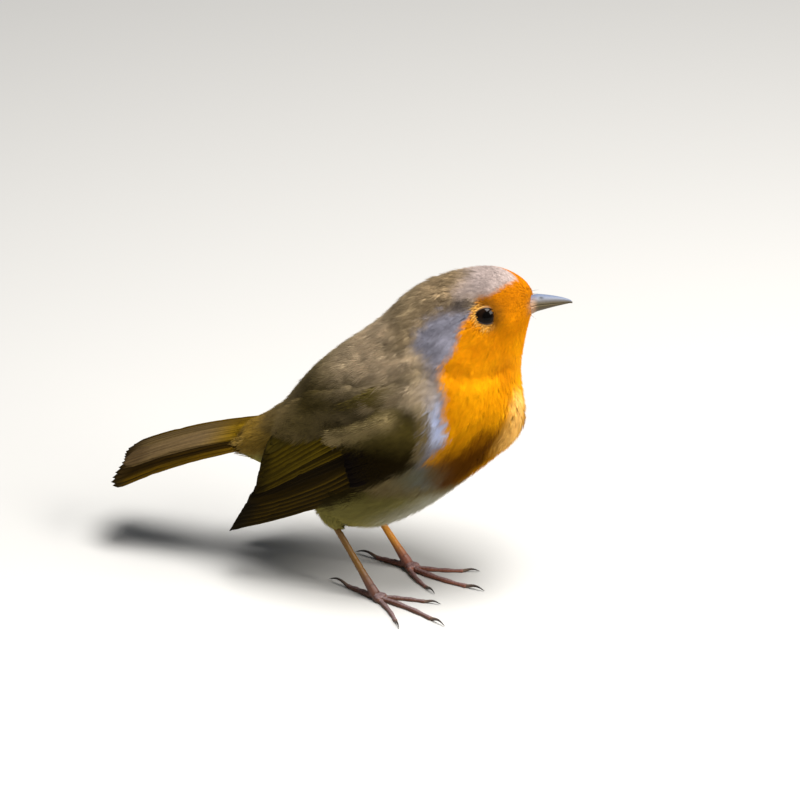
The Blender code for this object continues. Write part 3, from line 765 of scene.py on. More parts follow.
# Painted light on the bend of the wing, a paler line over the eye, and painted shade in the crease behind
# the eye.
HEAD_STROKES = [
    (TAN_HIGHLIGHT, 0.9, 3.6, [(26.6, 16.8, 59.4)]),
    (CROWN, 0.7, 2.0, [(31.0, 6.6, 81.0)]),
    (EYE_CREASE_SHADE, 0.95, 1.7, [(31.8, 8.3, 78.9), (29.6, 8.6, 78.2), (27.4, 8.9, 77.7)])]


def grey_border(own, fine, mottle):
    """The blue-greys of the band between the orange and the brown, sinking into painted shade below."""
    height = own[:, 2]
    colour = painted(BLUE_GREY, PALE_GREY, fade(height, 60, -7))
    # Painted shade: the grey is darker towards the bottom.
    colour = painted(colour, GREY_SHADE, fade(height, 50, -6)) * (1 - 0.5 * fade(height, 45, -7))[:, None]
    return stroked(colour * (1 + 0.24 * fine + 0.17 * mottle)[:, None], own, SHOULDER_SHADE)


print("the border's outline has", len(GREY_EDGE), "corners")

# %% [markdown]
# ### The orange face and breast
#
# Forehead, cheeks, throat and breast are one field of rust orange. It is deepest on the forehead,
# brightest on the throat and dark rust low on the breast, as painted shade where it turns away
# from the light. The fold of the throat is a deeper line of painted shade, and the loose lobe at
# the front of the breast is paler with painted light and has painted shade in its crease.

# %% The orange
ORANGE_EDGE = [(60.0, 86.0), (46.0, 86.0), (44.4, 83.4), (41.6, 82.6), (38.6, 81.6), (36.0, 80.4),
               (34.2, 78.4), (33.6, 75.9), (32.0, 73.6), (31.2, 70.4), (30.0, 67.0), (28.9, 65.2),
               (29.4, 62.4), (31.4, 58.6), (31.5, 52.0), (30.9, 45.8), (28.0, 43.0), (26.4, 39.4),
               (26.0, 35.4), (29.5, 32.6), (36.0, 34.5), (40.6, 38.2), (44.5, 40.5), (60.0, 43.0)]
# The peach is painted light on the lobe of the breast.
ORANGE, FLAME, LOBE_HIGHLIGHT = (0.93, 0.335, 0.002), (1.0, 0.43, 0.003), (1.0, 0.58, 0.15)
# The deep rust is painted shade, low on the breast and in the lobe's crease.
RUST, FOREHEAD, RUST_SHADE = (0.60, 0.175, 0.002), (0.38, 0.112, 0.001), (0.20, 0.057, 0.001)
ORANGE_SOFT, HEAD_ROLL = 1.2, 2.2
# Painted shade along the fold of the throat.
FOLD_SHADE = [(RUST, 0.95, 1.5, [(30.4, 14.8, 64.3), (35.4, 13.4, 62.5), (39.7, 10.4, 62.0),
                                (44.0, 5.0, 62.3)])]
# Painted light on the lobe and painted shade in its crease.
LOBE_LIGHT_AND_SHADE = [(LOBE_HIGHLIGHT, 0.95, 3.0, LOBE_BULGE), (RUST_SHADE, 0.8, 0.9, LOBE_CREASE)]


def orange_front(own, points, cloud, fine, mottle):
    """The oranges of face and breast, with painted shade low down and painted light on the lobe."""
    ahead, aside, height = own.T
    colour = painted(ORANGE, FLAME, 0.55 + 0.45 * cloud - (height - 62) / 20)
    colour = painted(colour, RUST, 0.35 * fade(height, 66, 8) + 0.22 * mottle)
    colour = painted(colour, FOREHEAD, 0.85 * fade(height, 75, 5))
    colour = stroked(colour, own, FOLD_SHADE)
    low_breast = height - 0.55 * (ahead - 34)
    turned_away = 0.45 + 0.55 * fade(aside, 2, 7)
    # Painted shade low on the breast, where it turns away from the light.
    colour = painted(colour, RUST_SHADE, 0.95 * turned_away * fade(low_breast - 1.6 * fine, 50.5, -9))
    colour = colour * (1 - 0.6 * turned_away * fade(low_breast, 46, -5))[:, None]
    return stroked(colour, points, LOBE_LIGHT_AND_SHADE)


def orange_share(own, head_far_side, edge):
    """1 on the orange; on the far side of the tilted head its upper edge sits a little higher."""
    flat = np.stack([own[:, 0], own[:, 2] - HEAD_ROLL * head_far_side], axis=1)
    return soft_inside(signed_gap(flat, ORANGE_EDGE) + 0.9 * edge, ORANGE_SOFT)


print("the orange's outline has", len(ORANGE_EDGE), "corners")

# %% [markdown]
# ### Small coverts and marks of the face
#
# The small feathers over the wing's arm have their own scheme: painted light along a ridge above,
# and nearly black along the wing's edge, where their own dark is deepened by painted shade. On the
# face painted shade darkens a rim in front of the eye, a pale rim runs behind and below it, and the
# corner of the bill is flesh-coloured.

# %% Coverts and face
# The arm's dark is partly the coverts' own and partly painted shade; the ridge's light is painted light.
ARM_SHADE_AND_DARK, ARM_OLIVE, ARM_RIDGE_HIGHLIGHT = (0.012, 0.007, 0.0005), (0.10, 0.074, 0.016), (0.50, 0.375, 0.17)
# Painted light on the ridge and the shoulder, and painted shade in the channel.
COVERT_LIGHT_AND_SHADE = [
    (ARM_RIDGE_HIGHLIGHT, 0.85, 2.1, [(18.5, 20.3, 52.2), (14.0, 20.4, 50.1), (7.4, 19.9, 46.6), (2.1, 19.1, 44.2)]),
    (TAN_HIGHLIGHT, 0.85, 2.9, [(24.6, 18.5, 58.0)]),
    LIT_SHOULDER,
    (CHANNEL_SHADE, 0.9, 1.9, CHANNEL)]
# The dark rim is painted shade in the recess in front of the eye.
EYE_RECESS_SHADE, RING_PALE, GAPE_FLESH = (0.24, 0.085, 0.006), (0.88, 0.52, 0.13), (0.52, 0.29, 0.16)
GAPE_ASIDE = 2.4
bill_gape = straightened(np.array([bill_root + (-0.6, 0.0, -1.6)]))[0]


def covert_marks(points):
    """The wing arm's small coverts with their painted light and shade; the head's turn doesn't matter."""
    own = np.stack([points[:, 0], np.abs(points[:, 1] - mid_y), points[:, 2]], axis=1)
    # Darker towards the wing's lower edge: the coverts' own dark and painted shade.
    arm = stroked(painted(ARM_SHADE_AND_DARK, ARM_OLIVE, fade(points[:, 2], 41.5, 8)), own, COVERT_LIGHT_AND_SHADE)
    return arm * (1 + 0.14 * waves(drawn_out(points), 2.6, 12))[:, None]


def face_marks(colour, own, points):
    """The colour with painted shade before the eye, its pale rim and the bill's corner painted on."""
    gap, _ = from_eyes(points)
    behind_below = fade((eye_straight[0] - own[:, 0]) + 0.7 * (eye_straight[2] - own[:, 2]), -1.5, 3.0)
    # Painted shade in front of and above the eye.
    colour = painted(colour, EYE_RECESS_SHADE, 0.85 * np.exp(-((gap / 1.5) ** 2)) * (1 - behind_below))
    colour = painted(colour, RING_PALE, 0.75 * np.exp(-(((gap - 0.3) / 0.7) ** 2)) * behind_below)
    return stroked(colour, own, [(GAPE_FLESH, 0.8, 1.3, [(bill_gape[0], GAPE_ASIDE, bill_gape[2])])])


print("the corner of the bill is", bill_gape.round(1))

# %% [markdown]
# ### One rule for all the plumage
#
# Each field is laid over the one before, from the brown above to the marks of the face. Two
# patterns of waves break the colours up: clouds a few feathers wide, and streaks along the way
# the feathers run. They are strongest on the nape, where the plumage is loose.

# %% Colour from place
# Inside this hem the coat takes the wing's own dark, with painted shade below the wing's lower edge.
WING_HEM = [(-1.0, 28.0), (-1.0, 23.6), (1.9, 24.4), (5.8, 26.8), (9.2, 29.8), (12.0, 32.5), (16.8, 35.9),
            (21.1, 38.4), (24.4, 40.8), (24.0, 45.0), (10.0, 40.0)]
HEM_SHADE_AND_DARK, HEM_SOFT = (0.016, 0.010, 0.001), 1.0
CLOUD_SIZE, STREAK_SIZE, MOTTLE_SIZE = 9.0, 3.2, 2.1
EDGE_WANDER = 0.35


def plumage_at(points, on_wing):
    """The colour of the plumage at each place of the bird, where on_wing is 1 on the wing."""
    own = straightened(points)
    head_far_side = fade(own[:, 1], 0.5, 4.0) * fade(own[:, 2], 78.0, 3.0)
    own[:, 1] = np.abs(own[:, 1])
    ahead, aside, height = own.T
    flat = own[:, [0, 2]]
    cloud = waves(points, CLOUD_SIZE, 3)
    fine, mottle = waves(drawn_out(points), STREAK_SIZE, 4), waves(drawn_out(points), MOTTLE_SIZE, 8)
    edge = EDGE_WANDER * cloud + EDGE_WANDER * fine
    loose = 0.5 + fade(height, 56, 10) * fade(ahead, 36, -6)
    colour = brown_above(own, fine) * (1 + loose * (0.20 * fine + 0.15 * mottle))[:, None]
    colour = painted(colour, white_below(own), below_share(own, edge))
    to_grey = signed_gap(flat, GREY_EDGE) + 1.2 * edge
    grey_share = soft_inside(to_grey, GREY_SOFT) * fade(aside, 2.8, 3.5)
    colour = painted(colour, grey_border(own, fine, mottle), grey_share)
    colour = stroked(colour, own, HEAD_STROKES)
    orange = orange_front(own, points, cloud, fine, mottle)
    colour = painted(colour, orange, orange_share(own, head_far_side, edge))
    # Painted shade on the flank below the front of the wing.
    colour = stroked(colour, own, [FLANK_SHADE_STROKE])
    # The wing's own dark and painted shade along its lower edge.
    hem = soft_inside(signed_gap(flat, WING_HEM), HEM_SOFT) * fade(aside, 9, 3)
    colour = painted(colour, HEM_SHADE_AND_DARK, 0.95 * hem)
    colour = painted(colour, covert_marks(points), on_wing)
    return face_marks(colour, own, points) * (1 + 0.06 * cloud + 0.04 * mottle)[:, None]


skin_colour = plumage_at(skin_points, on_wing)
print("colours at", len(skin_colour), "places; mean", skin_colour.mean(0).round(3))

# %% [markdown]
# ## Finishing the skin
#
# The skin is drawn in by the coat's depth, so that the feathers bring the outline back to the
# form. Its map for baking is an unwrap of its own shape: how far round the spine line one way and
# how far along it the other, with the seam under the belly. Every tuft later takes a small patch
# of the same map at its root's place.

# %% Unwrap and attributes
SEAM_MARGIN = 0.03


def unwrap(points):
    """Places on the skin's map: round the spine line, and along it."""
    station, spine, run = along_spine(points)
    up = unit(np.stack([run[:, 2], 0 * station, -run[:, 0]], axis=1))
    offset = points - spine
    around = np.arctan2(offset[:, 1], (offset * up).sum(1)) / (2 * math.pi) + 0.5
    return np.stack([around, station], axis=1) * (1 - 3 * SEAM_MARGIN) + SEAM_MARGIN


def corner_vertices(mesh):
    """Which point of the mesh each face corner is."""
    return read(mesh.loops, "vertex_index", kind=int)


def add_map(mesh, places):
    """Gives the mesh its OFBake map from one place for each face corner."""
    layer = mesh.uv_layers.new(name="OFBake")
    layer.data.foreach_set("uv", places.astype(np.float32).ravel())
    mesh.uv_layers.active = layer


def put(mesh, name, values):
    """Stores one number or one vector for each point of a mesh."""
    values = np.asarray(values, np.float32)
    kind = "FLOAT" if values.ndim == 1 else "FLOAT_VECTOR"
    layer = mesh.attributes.new(name, kind, "POINT")
    layer.data.foreach_set("value" if values.ndim == 1 else "vector", values.ravel())


def got(mesh, name):
    """Reads a named number or vector for each point of a mesh."""
    layer = mesh.attributes[name]
    if layer.data_type == "FLOAT_VECTOR":
        return read(layer.data, "vector", 3, np.float32)
    return read(layer.data, "value", kind=np.float32)


def put_colour(mesh, colours):
    """Stores the plumage colour, one for each point."""
    layer = mesh.color_attributes.new("plumage", "FLOAT_COLOR", "POINT")
    shown = np.column_stack([np.clip(colours, 0, 1), np.ones(len(colours))])
    layer.data.foreach_set("color", shown.astype(np.float32).ravel())
    mesh.color_attributes.active_color = layer


def smooth_shaded(mesh):
    mesh.polygons.foreach_set("use_smooth", np.ones(len(mesh.polygons), bool))


def show(name, mesh, replaces=()):
    """Makes the piece, lets it ride with the bird, hides the parts it replaces and prints its size."""
    piece = placed(name, mesh)
    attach(piece, "root")
    if replaces:
        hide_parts(*replaces)
    mesh.calc_loop_triangles()
    print(f"{name}: {len(mesh.loop_triangles)} triangles")


def as_mesh(name, points, faces, material):
    """A smooth-shaded mesh from points in millimetres."""
    mesh = bpy.data.meshes.new(name)
    mesh.from_pydata((np.asarray(points) * MM).tolist(), [], [tuple(map(int, face)) for face in faces])
    mesh.materials.append(material)
    smooth_shaded(mesh)
    return mesh


# %% Draw the skin in
outer_lift = normals_of(outer_form)
put(outer_form, "outward", outer_lift)
form_piece = bpy.data.objects.new("outer_form", outer_form)
UNDER_MARGIN = 0.9
covered = under_wing(skin_points, UNDER_MARGIN)
bald = np.linalg.norm(skin_points - bill_root, axis=1) < 2.5

for name, values in (("outward", skin_normals), ("lie", skin_lie), ("coat", skin_coat * MM)):
    put(skin_mesh, name, values)
length = feather_length(skin_points)
put(skin_mesh, "long", length * MM)
place_points(skin_mesh, skin_points - skin_normals * skin_coat[:, None])
grower = skin_mesh.copy()
print("drawn in by", round(float(skin_coat.mean()), 2), "mm on average;",
      int(covered.sum()), "of", len(covered), "points lie under the wings")

# %% [markdown]
# ## Feathers as tufts
#
# At this size a contour feather reads as a small leaf whose rim is split into barbs. Each tuft is
# such a leaf: a closed, thin palm with a fan of tapering barbs, a few dozen triangles in all. The
# face has small stiff ones with four barbs, the rest of the bird soft ones with six. Three
# variants of each kind keep the rows from looking stamped.

# %% The tuft shapes
def tuft_shape(name, barbs, palm, palm_width, roundness, seed):
    """A closed leaf one unit long and one wide, its root at the origin and its tip along +X."""
    draw = np.random.default_rng(seed)
    rim = np.linspace(-1, 1, barbs + 1)
    notch_x = palm * (1 - 0.55 * rim**2) + draw.uniform(-0.05, 0.05, barbs + 1)
    notch = np.stack([notch_x, palm_width / 2 * rim, 0 * rim, 0 * rim], axis=1)
    middle = (rim[1:] + rim[:-1]) / 2
    ridge_x = (notch[1:, 0] + notch[:-1, 0]) / 2
    ridge = np.stack([ridge_x, palm_width / 2 * middle, 0 * middle, 1 + 0 * middle], axis=1)
    tip_x = 1 - roundness * middle**2 + draw.uniform(-0.07, 0.07, barbs)
    tip_y = 0.5 * middle * (1 + draw.uniform(-0.15, 0.15, barbs))
    tip = np.stack([tip_x, tip_y, 0 * middle, 0.3 + 0 * middle], axis=1)
    centre = [[palm * 0.45, 0, 0, 1.2], [palm * 0.45, 0, 0, -0.4]]
    table = np.vstack([[[0, 0, 0, 0]], centre, notch, ridge, tip])
    first_notch, first_ridge, first_tip = 3, 4 + barbs, 4 + 2 * barbs
    fan = [0]
    for k in range(barbs):
        fan += [first_notch + k, first_ridge + k]
    fan.append(first_notch + barbs)
    faces = [(1, a, b) for a, b in zip(fan, fan[1:] + fan[:1])]
    under = [0, *range(first_notch, first_ridge)]
    faces += [(2, b, a) for a, b in zip(under, under[1:] + under[:1])]
    for k in range(barbs):
        left, right, top, end = first_notch + k, first_notch + k + 1, first_ridge + k, first_tip + k
        faces += [(left, end, top), (top, end, right), (left, right, end)]
    mesh = bpy.data.meshes.new(name)
    mesh.from_pydata(table[:, :3].tolist(), [], faces)
    rise = 1 - (1 - np.clip(table[:, 0], 0, 1)) ** 1.7
    rise[first_tip:] += draw.uniform(-0.10, 0.14, barbs)
    put(mesh, "local", table[:, :3])
    put(mesh, "rise", rise)
    put(mesh, "lift", table[:, 3])
    return bpy.data.objects.new(name, mesh)


TUFT_KINDS = {
    "bristly": (4, 0.34, 0.55, 0.18),
    "soft": (6, 0.42, 0.60, 0.30),
}
tuft_kinds = {}
for number, (kind, (barbs, palm, palm_width, roundness)) in enumerate(TUFT_KINDS.items()):
    tuft_kinds[kind] = bpy.data.collections.new("tufts_" + kind)
    for variant in range(3):
        seed = 10 * number + variant
        shape = tuft_shape(f"{kind}_{variant}", barbs, palm, palm_width, roundness, seed)
        tuft_kinds[kind].objects.link(shape)

# %% [markdown]
# ### Laying the tufts with Geometry Nodes
#
# Thousands of tufts that follow a surface are work for Geometry Nodes. The tree scatters roots on
# the skin at an even spacing, turns a tuft at each root to the lie, and realizes them. Then every
# point of every tuft is dropped on the outer form and lifted by its place along the feather: the
# root sits on the skin, the tip on the outline, so the tufts overlap like shingles and bend with
# the body.

# %% Node helpers
def socket(sockets, name):
    """The enabled socket with this name."""
    return next(s for s in sockets if s.name == name and s.enabled)


def add(tree, kind, settings=None, values=None):
    """A node with its settings and its inputs, where an input may be another node's output."""
    made = tree.nodes.new(kind)
    for name, value in (settings or {}).items():
        setattr(made, name, value)
    for name, value in (values or {}).items():
        where = made.inputs[name] if isinstance(name, int) else socket(made.inputs, name)
        if isinstance(value, bpy.types.NodeSocket):
            tree.links.new(value, where)
        else:
            where.default_value = value
    return made


def out(node, name=None):
    return socket(node.outputs, name) if name else next(s for s in node.outputs if s.enabled)


def attribute(tree, name, kind="FLOAT"):
    node = add(tree, "GeometryNodeInputNamedAttribute", {"data_type": kind}, {"Name": name})
    return out(node, "Attribute")


def maths(tree, operation, a, b):
    return out(add(tree, "ShaderNodeMath", {"operation": operation}, {0: a, 1: b}))


def vectors(tree, operation, a, b):
    return out(add(tree, "ShaderNodeVectorMath", {"operation": operation}, {0: a, 1: b}))


def scaled(tree, vector, factor):
    return out(add(tree, "ShaderNodeVectorMath", {"operation": "SCALE"}, {0: vector, "Scale": factor}))


def store(tree, geometry, name, value, kind="FLOAT"):
    values = {"Geometry": geometry, "Name": name, "Value": value}
    return out(add(tree, "GeometryNodeStoreNamedAttribute", {"data_type": kind, "domain": "POINT"}, values))


def random_number(tree, low, high, seed, offset):
    """A random number for each root, between low and high, from the tree's seed and an offset."""
    own_seed = maths(tree, "ADD", seed, offset)
    return out(add(tree, "FunctionNodeRandomValue", {"data_type": "FLOAT"},
                   {"Min": low, "Max": high, "Seed": own_seed}))


def open_tree(name, inputs):
    """An empty tree with these named inputs, a geometry in and a geometry out."""
    tree = bpy.data.node_groups.new(name, "GeometryNodeTree")
    for label, kind in {"Geometry": "Geometry", **inputs}.items():
        tree.interface.new_socket(label, in_out="INPUT", socket_type="NodeSocket" + kind)
    tree.interface.new_socket("Geometry", in_out="OUTPUT", socket_type="NodeSocketGeometry")
    return tree, tree.nodes.new("NodeGroupInput").outputs


def set_inputs(modifier, values):
    """Sets a tree's inputs by their sockets' identifiers."""
    for item in modifier.node_group.interface.items_tree:
        if item.in_out == "INPUT" and item.name in values:
            modifier[item.identifier] = values[item.name]


print("helpers for trees of nodes are ready")


# %% The tree that lays tufts
def tuft_tree():
    tree, given = open_tree("lay_tufts", {
        "Tufts": "Collection", "Form": "Object", "Spacing": "Float", "Width": "Float",
        "Thickness": "Float", "Sway": "Float", "Stray": "Float", "Seed": "Int", "Material": "Material"})
    roots = add(tree, "GeometryNodeDistributePointsOnFaces", {"distribute_method": "POISSON"}, {
        "Mesh": given["Geometry"], "Distance Min": given["Spacing"], "Density Max": 6.0e7,
        "Density Factor": attribute(tree, "many"), "Seed": given["Seed"]})
    outward, lie = attribute(tree, "outward", "FLOAT_VECTOR"), attribute(tree, "lie", "FLOAT_VECTOR")
    here = out(add(tree, "GeometryNodeInputPosition"))
    held = store(tree, out(roots, "Points"), "root", here, "FLOAT_VECTOR")
    held = store(tree, held, "tone", random_number(tree, 0.0, 1.0, given["Seed"], 1))
    held = store(tree, held, "reach", random_number(tree, 0.88, 1.10, given["Seed"], 2))
    sway = maths(tree, "MULTIPLY", given["Sway"], random_number(tree, -1.0, 1.0, given["Seed"], 3))
    aside = scaled(tree, vectors(tree, "CROSS_PRODUCT", outward, lie), sway)
    turned = add(tree, "FunctionNodeAxesToRotation", {"primary_axis": "Z", "secondary_axis": "X"}, {
        "Primary Axis": outward, "Secondary Axis": vectors(tree, "ADD", lie, aside)})
    longer = random_number(tree, 0.82, 1.18, given["Seed"], 4)
    long = maths(tree, "MULTIPLY", attribute(tree, "long"), longer)
    wide = maths(tree, "MULTIPLY", long, given["Width"])
    size = out(add(tree, "ShaderNodeCombineXYZ", None, {"X": long, "Y": wide, "Z": long}))
    kinds = add(tree, "GeometryNodeCollectionInfo", None, {
        "Collection": given["Tufts"], "Separate Children": True, "Reset Children": True})
    choice = out(add(tree, "FunctionNodeRandomValue", {"data_type": "INT"}, {
        "Min": 0, "Max": 2, "Seed": maths(tree, "ADD", given["Seed"], 5)}))
    laid = add(tree, "GeometryNodeInstanceOnPoints", None, {
        "Points": held, "Instance": out(kinds), "Pick Instance": True, "Instance Index": choice,
        "Rotation": out(turned), "Scale": size})
    real = out(add(tree, "GeometryNodeRealizeInstances", None, {"Geometry": out(laid)}))
    form = out(add(tree, "GeometryNodeObjectInfo", None, {"Object": given["Form"]}), "Geometry")
    nearest = add(tree, "GeometryNodeProximity", {"target_element": "FACES"}, {
        "Geometry": form, "Sample Position": here})
    normal = out(add(tree, "GeometryNodeSampleNearestSurface", {"data_type": "FLOAT_VECTOR"}, {
        "Mesh": form, "Value": outward, "Sample Position": here}), "Value")
    real = store(tree, real, "skyward", normal, "FLOAT_VECTOR")
    climb = maths(tree, "MULTIPLY", attribute(tree, "rise"), attribute(tree, "reach"))
    climb = maths(tree, "MULTIPLY", maths(tree, "SUBTRACT", climb, 1.0), attribute(tree, "coat"))
    stray = maths(tree, "MULTIPLY", given["Stray"], attribute(tree, "rise"))
    stray = maths(tree, "MULTIPLY", stray, attribute(tree, "tone"))
    thick = maths(tree, "MULTIPLY", attribute(tree, "lift"), given["Thickness"])
    height = maths(tree, "ADD", maths(tree, "ADD", climb, thick), stray)
    place = vectors(tree, "ADD", out(nearest, "Position"), scaled(tree, normal, height))
    bent = out(add(tree, "GeometryNodeSetPosition", None, {"Geometry": real, "Position": place}))
    clad = out(add(tree, "GeometryNodeSetMaterial", None, {"Geometry": bent, "Material": given["Material"]}))
    end = tree.nodes.new("NodeGroupOutput")
    tree.links.new(clad, end.inputs[0])
    return tree


lay_tufts = tuft_tree()
print("the tree has", len(lay_tufts.nodes), "nodes")

# %% [markdown]
# ### The feather finish
#
# Plumage is dull and soft: light sinks between the barbs, so it has no gloss and only a faint
# velvet rim. One shader, set a little differently for skin, brown and orange feathers, serves all
# of it. The colour comes from the plumage rule, which was stored on the mesh, and fine noise in
# the object's own space breaks it up as barbs do.

# %% The feather material
def stored_colour(tree):
    return out(add(tree, "ShaderNodeAttribute", {"attribute_name": "plumage"}), "Color")


def noise_in(tree, scale, detail, roughness):
    """Noise in the object's own space."""
    place = out(add(tree, "ShaderNodeTexCoord"), "Object")
    return out(add(tree, "ShaderNodeTexNoise", None, {
        "Vector": place, "Scale": scale, "Detail": detail, "Roughness": roughness}))


def ranged(tree, value, low, high, from_low=0.0, from_high=1.0):
    """A value mapped to the range from low to high."""
    return out(add(tree, "ShaderNodeMapRange", None, {
        0: value, "From Min": from_low, "From Max": from_high, "To Min": low, "To Max": high}))


def joined(tree, shader, colour, rough, height, strength, depth):
    """Joins a colour, a roughness and a bump of that strength and depth to the shader."""
    tree.links.new(colour, shader.inputs["Base Color"])
    tree.links.new(rough, shader.inputs["Roughness"])
    bump = add(tree, "ShaderNodeBump", None, {"Strength": strength, "Distance": depth, "Height": height})
    tree.links.new(out(bump), shader.inputs["Normal"])


def grained_finish(name, roughness, grain, detail, contrast, bump, depth, gloss):
    """A finish that takes its colour from the plumage attribute and a fine grain from noise."""
    made, shader = plain_finish(name, (0.5, 0.5, 0.5), roughness)
    tree = made.node_tree
    noise = noise_in(tree, grain, detail, 0.6)
    colour = scaled(tree, stored_colour(tree), ranged(tree, noise, 1 - contrast, 1 + contrast))
    rough = ranged(tree, noise, roughness - ROUGH_SWING, roughness + ROUGH_SWING)
    joined(tree, shader, colour, rough, noise, bump, depth)
    shader.inputs["Specular IOR Level"].default_value = gloss
    return made, shader


def plumage_finish(name, grain, sheen, roughness, contrast):
    made, shader = grained_finish(name, roughness, grain, 3.0, contrast, 0.5, 0.00005, PLUMAGE_GLOSS)
    shader.inputs["Sheen Weight"].default_value = sheen
    shader.inputs["Sheen Roughness"].default_value = 0.5
    shader.inputs["Sheen Tint"].default_value = (1.0, 0.80, 0.50, 1.0)
    return made


ROUGH_SWING, PLUMAGE_GLOSS = 0.08, 0.02
skin_finish = plumage_finish("bare_skin", 2600.0, 0.0, 0.75, 0.15)
tuft_finish = plumage_finish("plumage", 5200.0, 0.025, 0.82, 0.13)
warm_finish = plumage_finish("warm_plumage", 5200.0, 0.0, 0.85, 0.13)
print("each plumage finish has", len(tuft_finish.node_tree.nodes), "nodes")

# %% [markdown]
# ### Growing the tracts
#
# A bird's feathers grow in tracts, and each tract is a piece of its own here, so that none gets
# too heavy. The face has the shortest and stiffest feathers, the nape and the back the loosest,
# and the small coverts of the wing lie the neatest. All tracts are laid by one function, and only
# the kind of tuft, its spacing, width, seed and looseness differ.

# %% Laying one tract
PATCH, ROOT_SHADE = 0.003, 0.50
TUFT_MIDDLE, TONE_WANDER = 0.62, 0.35
CARRIED = ["root", "lie", "local", "tone", "reach", "rise", "lift", "coat", "long", "many",
           "outward", "skyward"]


def shaded_like_form(mesh, follow):
    """Turns the shading normals of the tufts towards the form's, so that the coat reads as soft."""
    skyward = got(mesh, "skyward")
    corners, own = corner_vertices(mesh), normals_of(mesh)
    on_top = (read(mesh.polygons, "normal", 3, np.float32) * skyward[corners[::3]]).sum(1) > 0
    facing = np.repeat(np.where(on_top, 1.0, -1.0), 3)[:, None]
    mixed = facing * skyward[corners] * follow + own[corners] * (1 - follow)
    mesh.normals_split_custom_set(unit(mixed).tolist())


def lay_tract(name, kind, many, spacing, width, seed, sway, thickness=0.045, stray=0.0, longer=1.0,
              follow=0.72, contrast=0.2, on_wing=0.0, slot="brown_plumage", ground=None):
    """Lays one tract of tufts on the skin, or on another ground, and shows it as a piece."""
    ground, form = ground or (grower, form_piece)
    mesh = ground.copy()
    put(mesh, "many", many.astype(float))
    mesh.attributes["long"].data.foreach_set("value", got(mesh, "long") * np.float32(longer))
    carrier = placed(name, mesh)
    modifier = carrier.modifiers.new("tufts", "NODES")
    modifier.node_group = lay_tufts
    set_inputs(modifier, {
        "Tufts": tuft_kinds[kind], "Form": form, "Spacing": spacing * MM, "Width": width,
        "Thickness": thickness * MM, "Sway": sway, "Stray": stray * MM, "Seed": seed,
        "Material": warm_finish if slot == "orange_plumage" else tuft_finish})
    laid = as_plain(carrier)
    root, lie, local, tone, long = (got(laid, key) for key in ("root", "lie", "local", "tone", "long"))
    spot = (root + lie * (TUFT_MIDDLE * long)[:, None]) / MM + TONE_WANDER * np.sin(tone * 40)[:, None]
    # Painted shade towards each tuft's root, which the feathers above cover.
    shade = ROOT_SHADE + (1 - ROOT_SHADE) * eased(local[:, 0] / 0.75)
    colour = plumage_at(spot, on_wing) * (shade * (1 + contrast * (tone - 0.5)))[:, None]
    corners = corner_vertices(laid)
    places = unwrap(root / MM)[corners] + (local[corners, :2] - (0.5, 0.0)) * PATCH
    shaded_like_form(laid, follow)
    for layer in [a.name for a in laid.attributes if a.name in CARRIED]:
        laid.attributes.remove(laid.attributes[layer])
    put_colour(laid, colour)
    add_map(laid, places)
    laid.name = name
    show(name, laid)


print("each tuft's patch of the map is", PATCH, "wide")

# %% [markdown]
# ### Where each tract lies
#
# A tract is the points of the skin nearest to some parts of the form, less what stays bare: the
# root of the bill, the slit of the eyes, the stump under the tail and all that the folded wing
# covers. Head and breast are split by distance from the bill and by place.

# %% The tracts
COVERT_PATCH = [(30, 62), (30, 44), (25.0, 36.5), (20.5, 35.5), (14.0, 37.0), (12.5, 42.0), (10.0, 45.6),
                (3.0, 45.0), (-1.0, 47.0), (-5.0, 52.0), (0.0, 58.0), (18.0, 64.0)]
WING_FRONT_X, WING_INNER_Y, STUMP_X = 24.5, 8, -20.5
EYE_SLIT, FACE_SIZE, OFF_GREY = 0.12, 13.5, 0.8
HEAD_LOW_Z, NAPE_LOW_Z, NAPE_FRONT_X, BREAST_REAR_X = 60, 63, 30.5, 24

ahead, aside, height = skin_points.T
side_view = skin_points[:, [0, 2]]
near_bill = np.linalg.norm(skin_points - bill_root, axis=1)
on_coverts = grown_on(*COVERTS)
under_vanes = inside_outline(side_view, wing_outline) & (ahead < WING_FRONT_X) & ~on_coverts
under_vanes &= np.abs(aside - mid_y) > WING_INNER_Y
bare = covered | bald | (ahead < STUMP_X) | (from_eyes(skin_points)[0] < EYE_SLIT) | under_vanes
on_head = ~bare & grown_on("head", "neck") & (height > HEAD_LOW_Z)
rest = ~bare & ~on_head
off_grey = signed_gap(straightened(skin_points)[:, [0, 2]], GREY_EDGE) > OFF_GREY
nape = ~bare & (height > NAPE_LOW_Z) & (ahead < NAPE_FRONT_X) & ~on_coverts & off_grey
face = on_head & (near_bill < FACE_SIZE)
hood = on_head & (near_bill >= FACE_SIZE) & ~nape
front = rest & (ahead > BREAST_REAR_X) & ~grown_on("back") & ~on_coverts
body = rest & ~front
small_coverts = rest & on_coverts & inside_outline(side_view, np.array(COVERT_PATCH))
print("bare:", int(bare.sum()), "of", len(bare), "points of the skin")

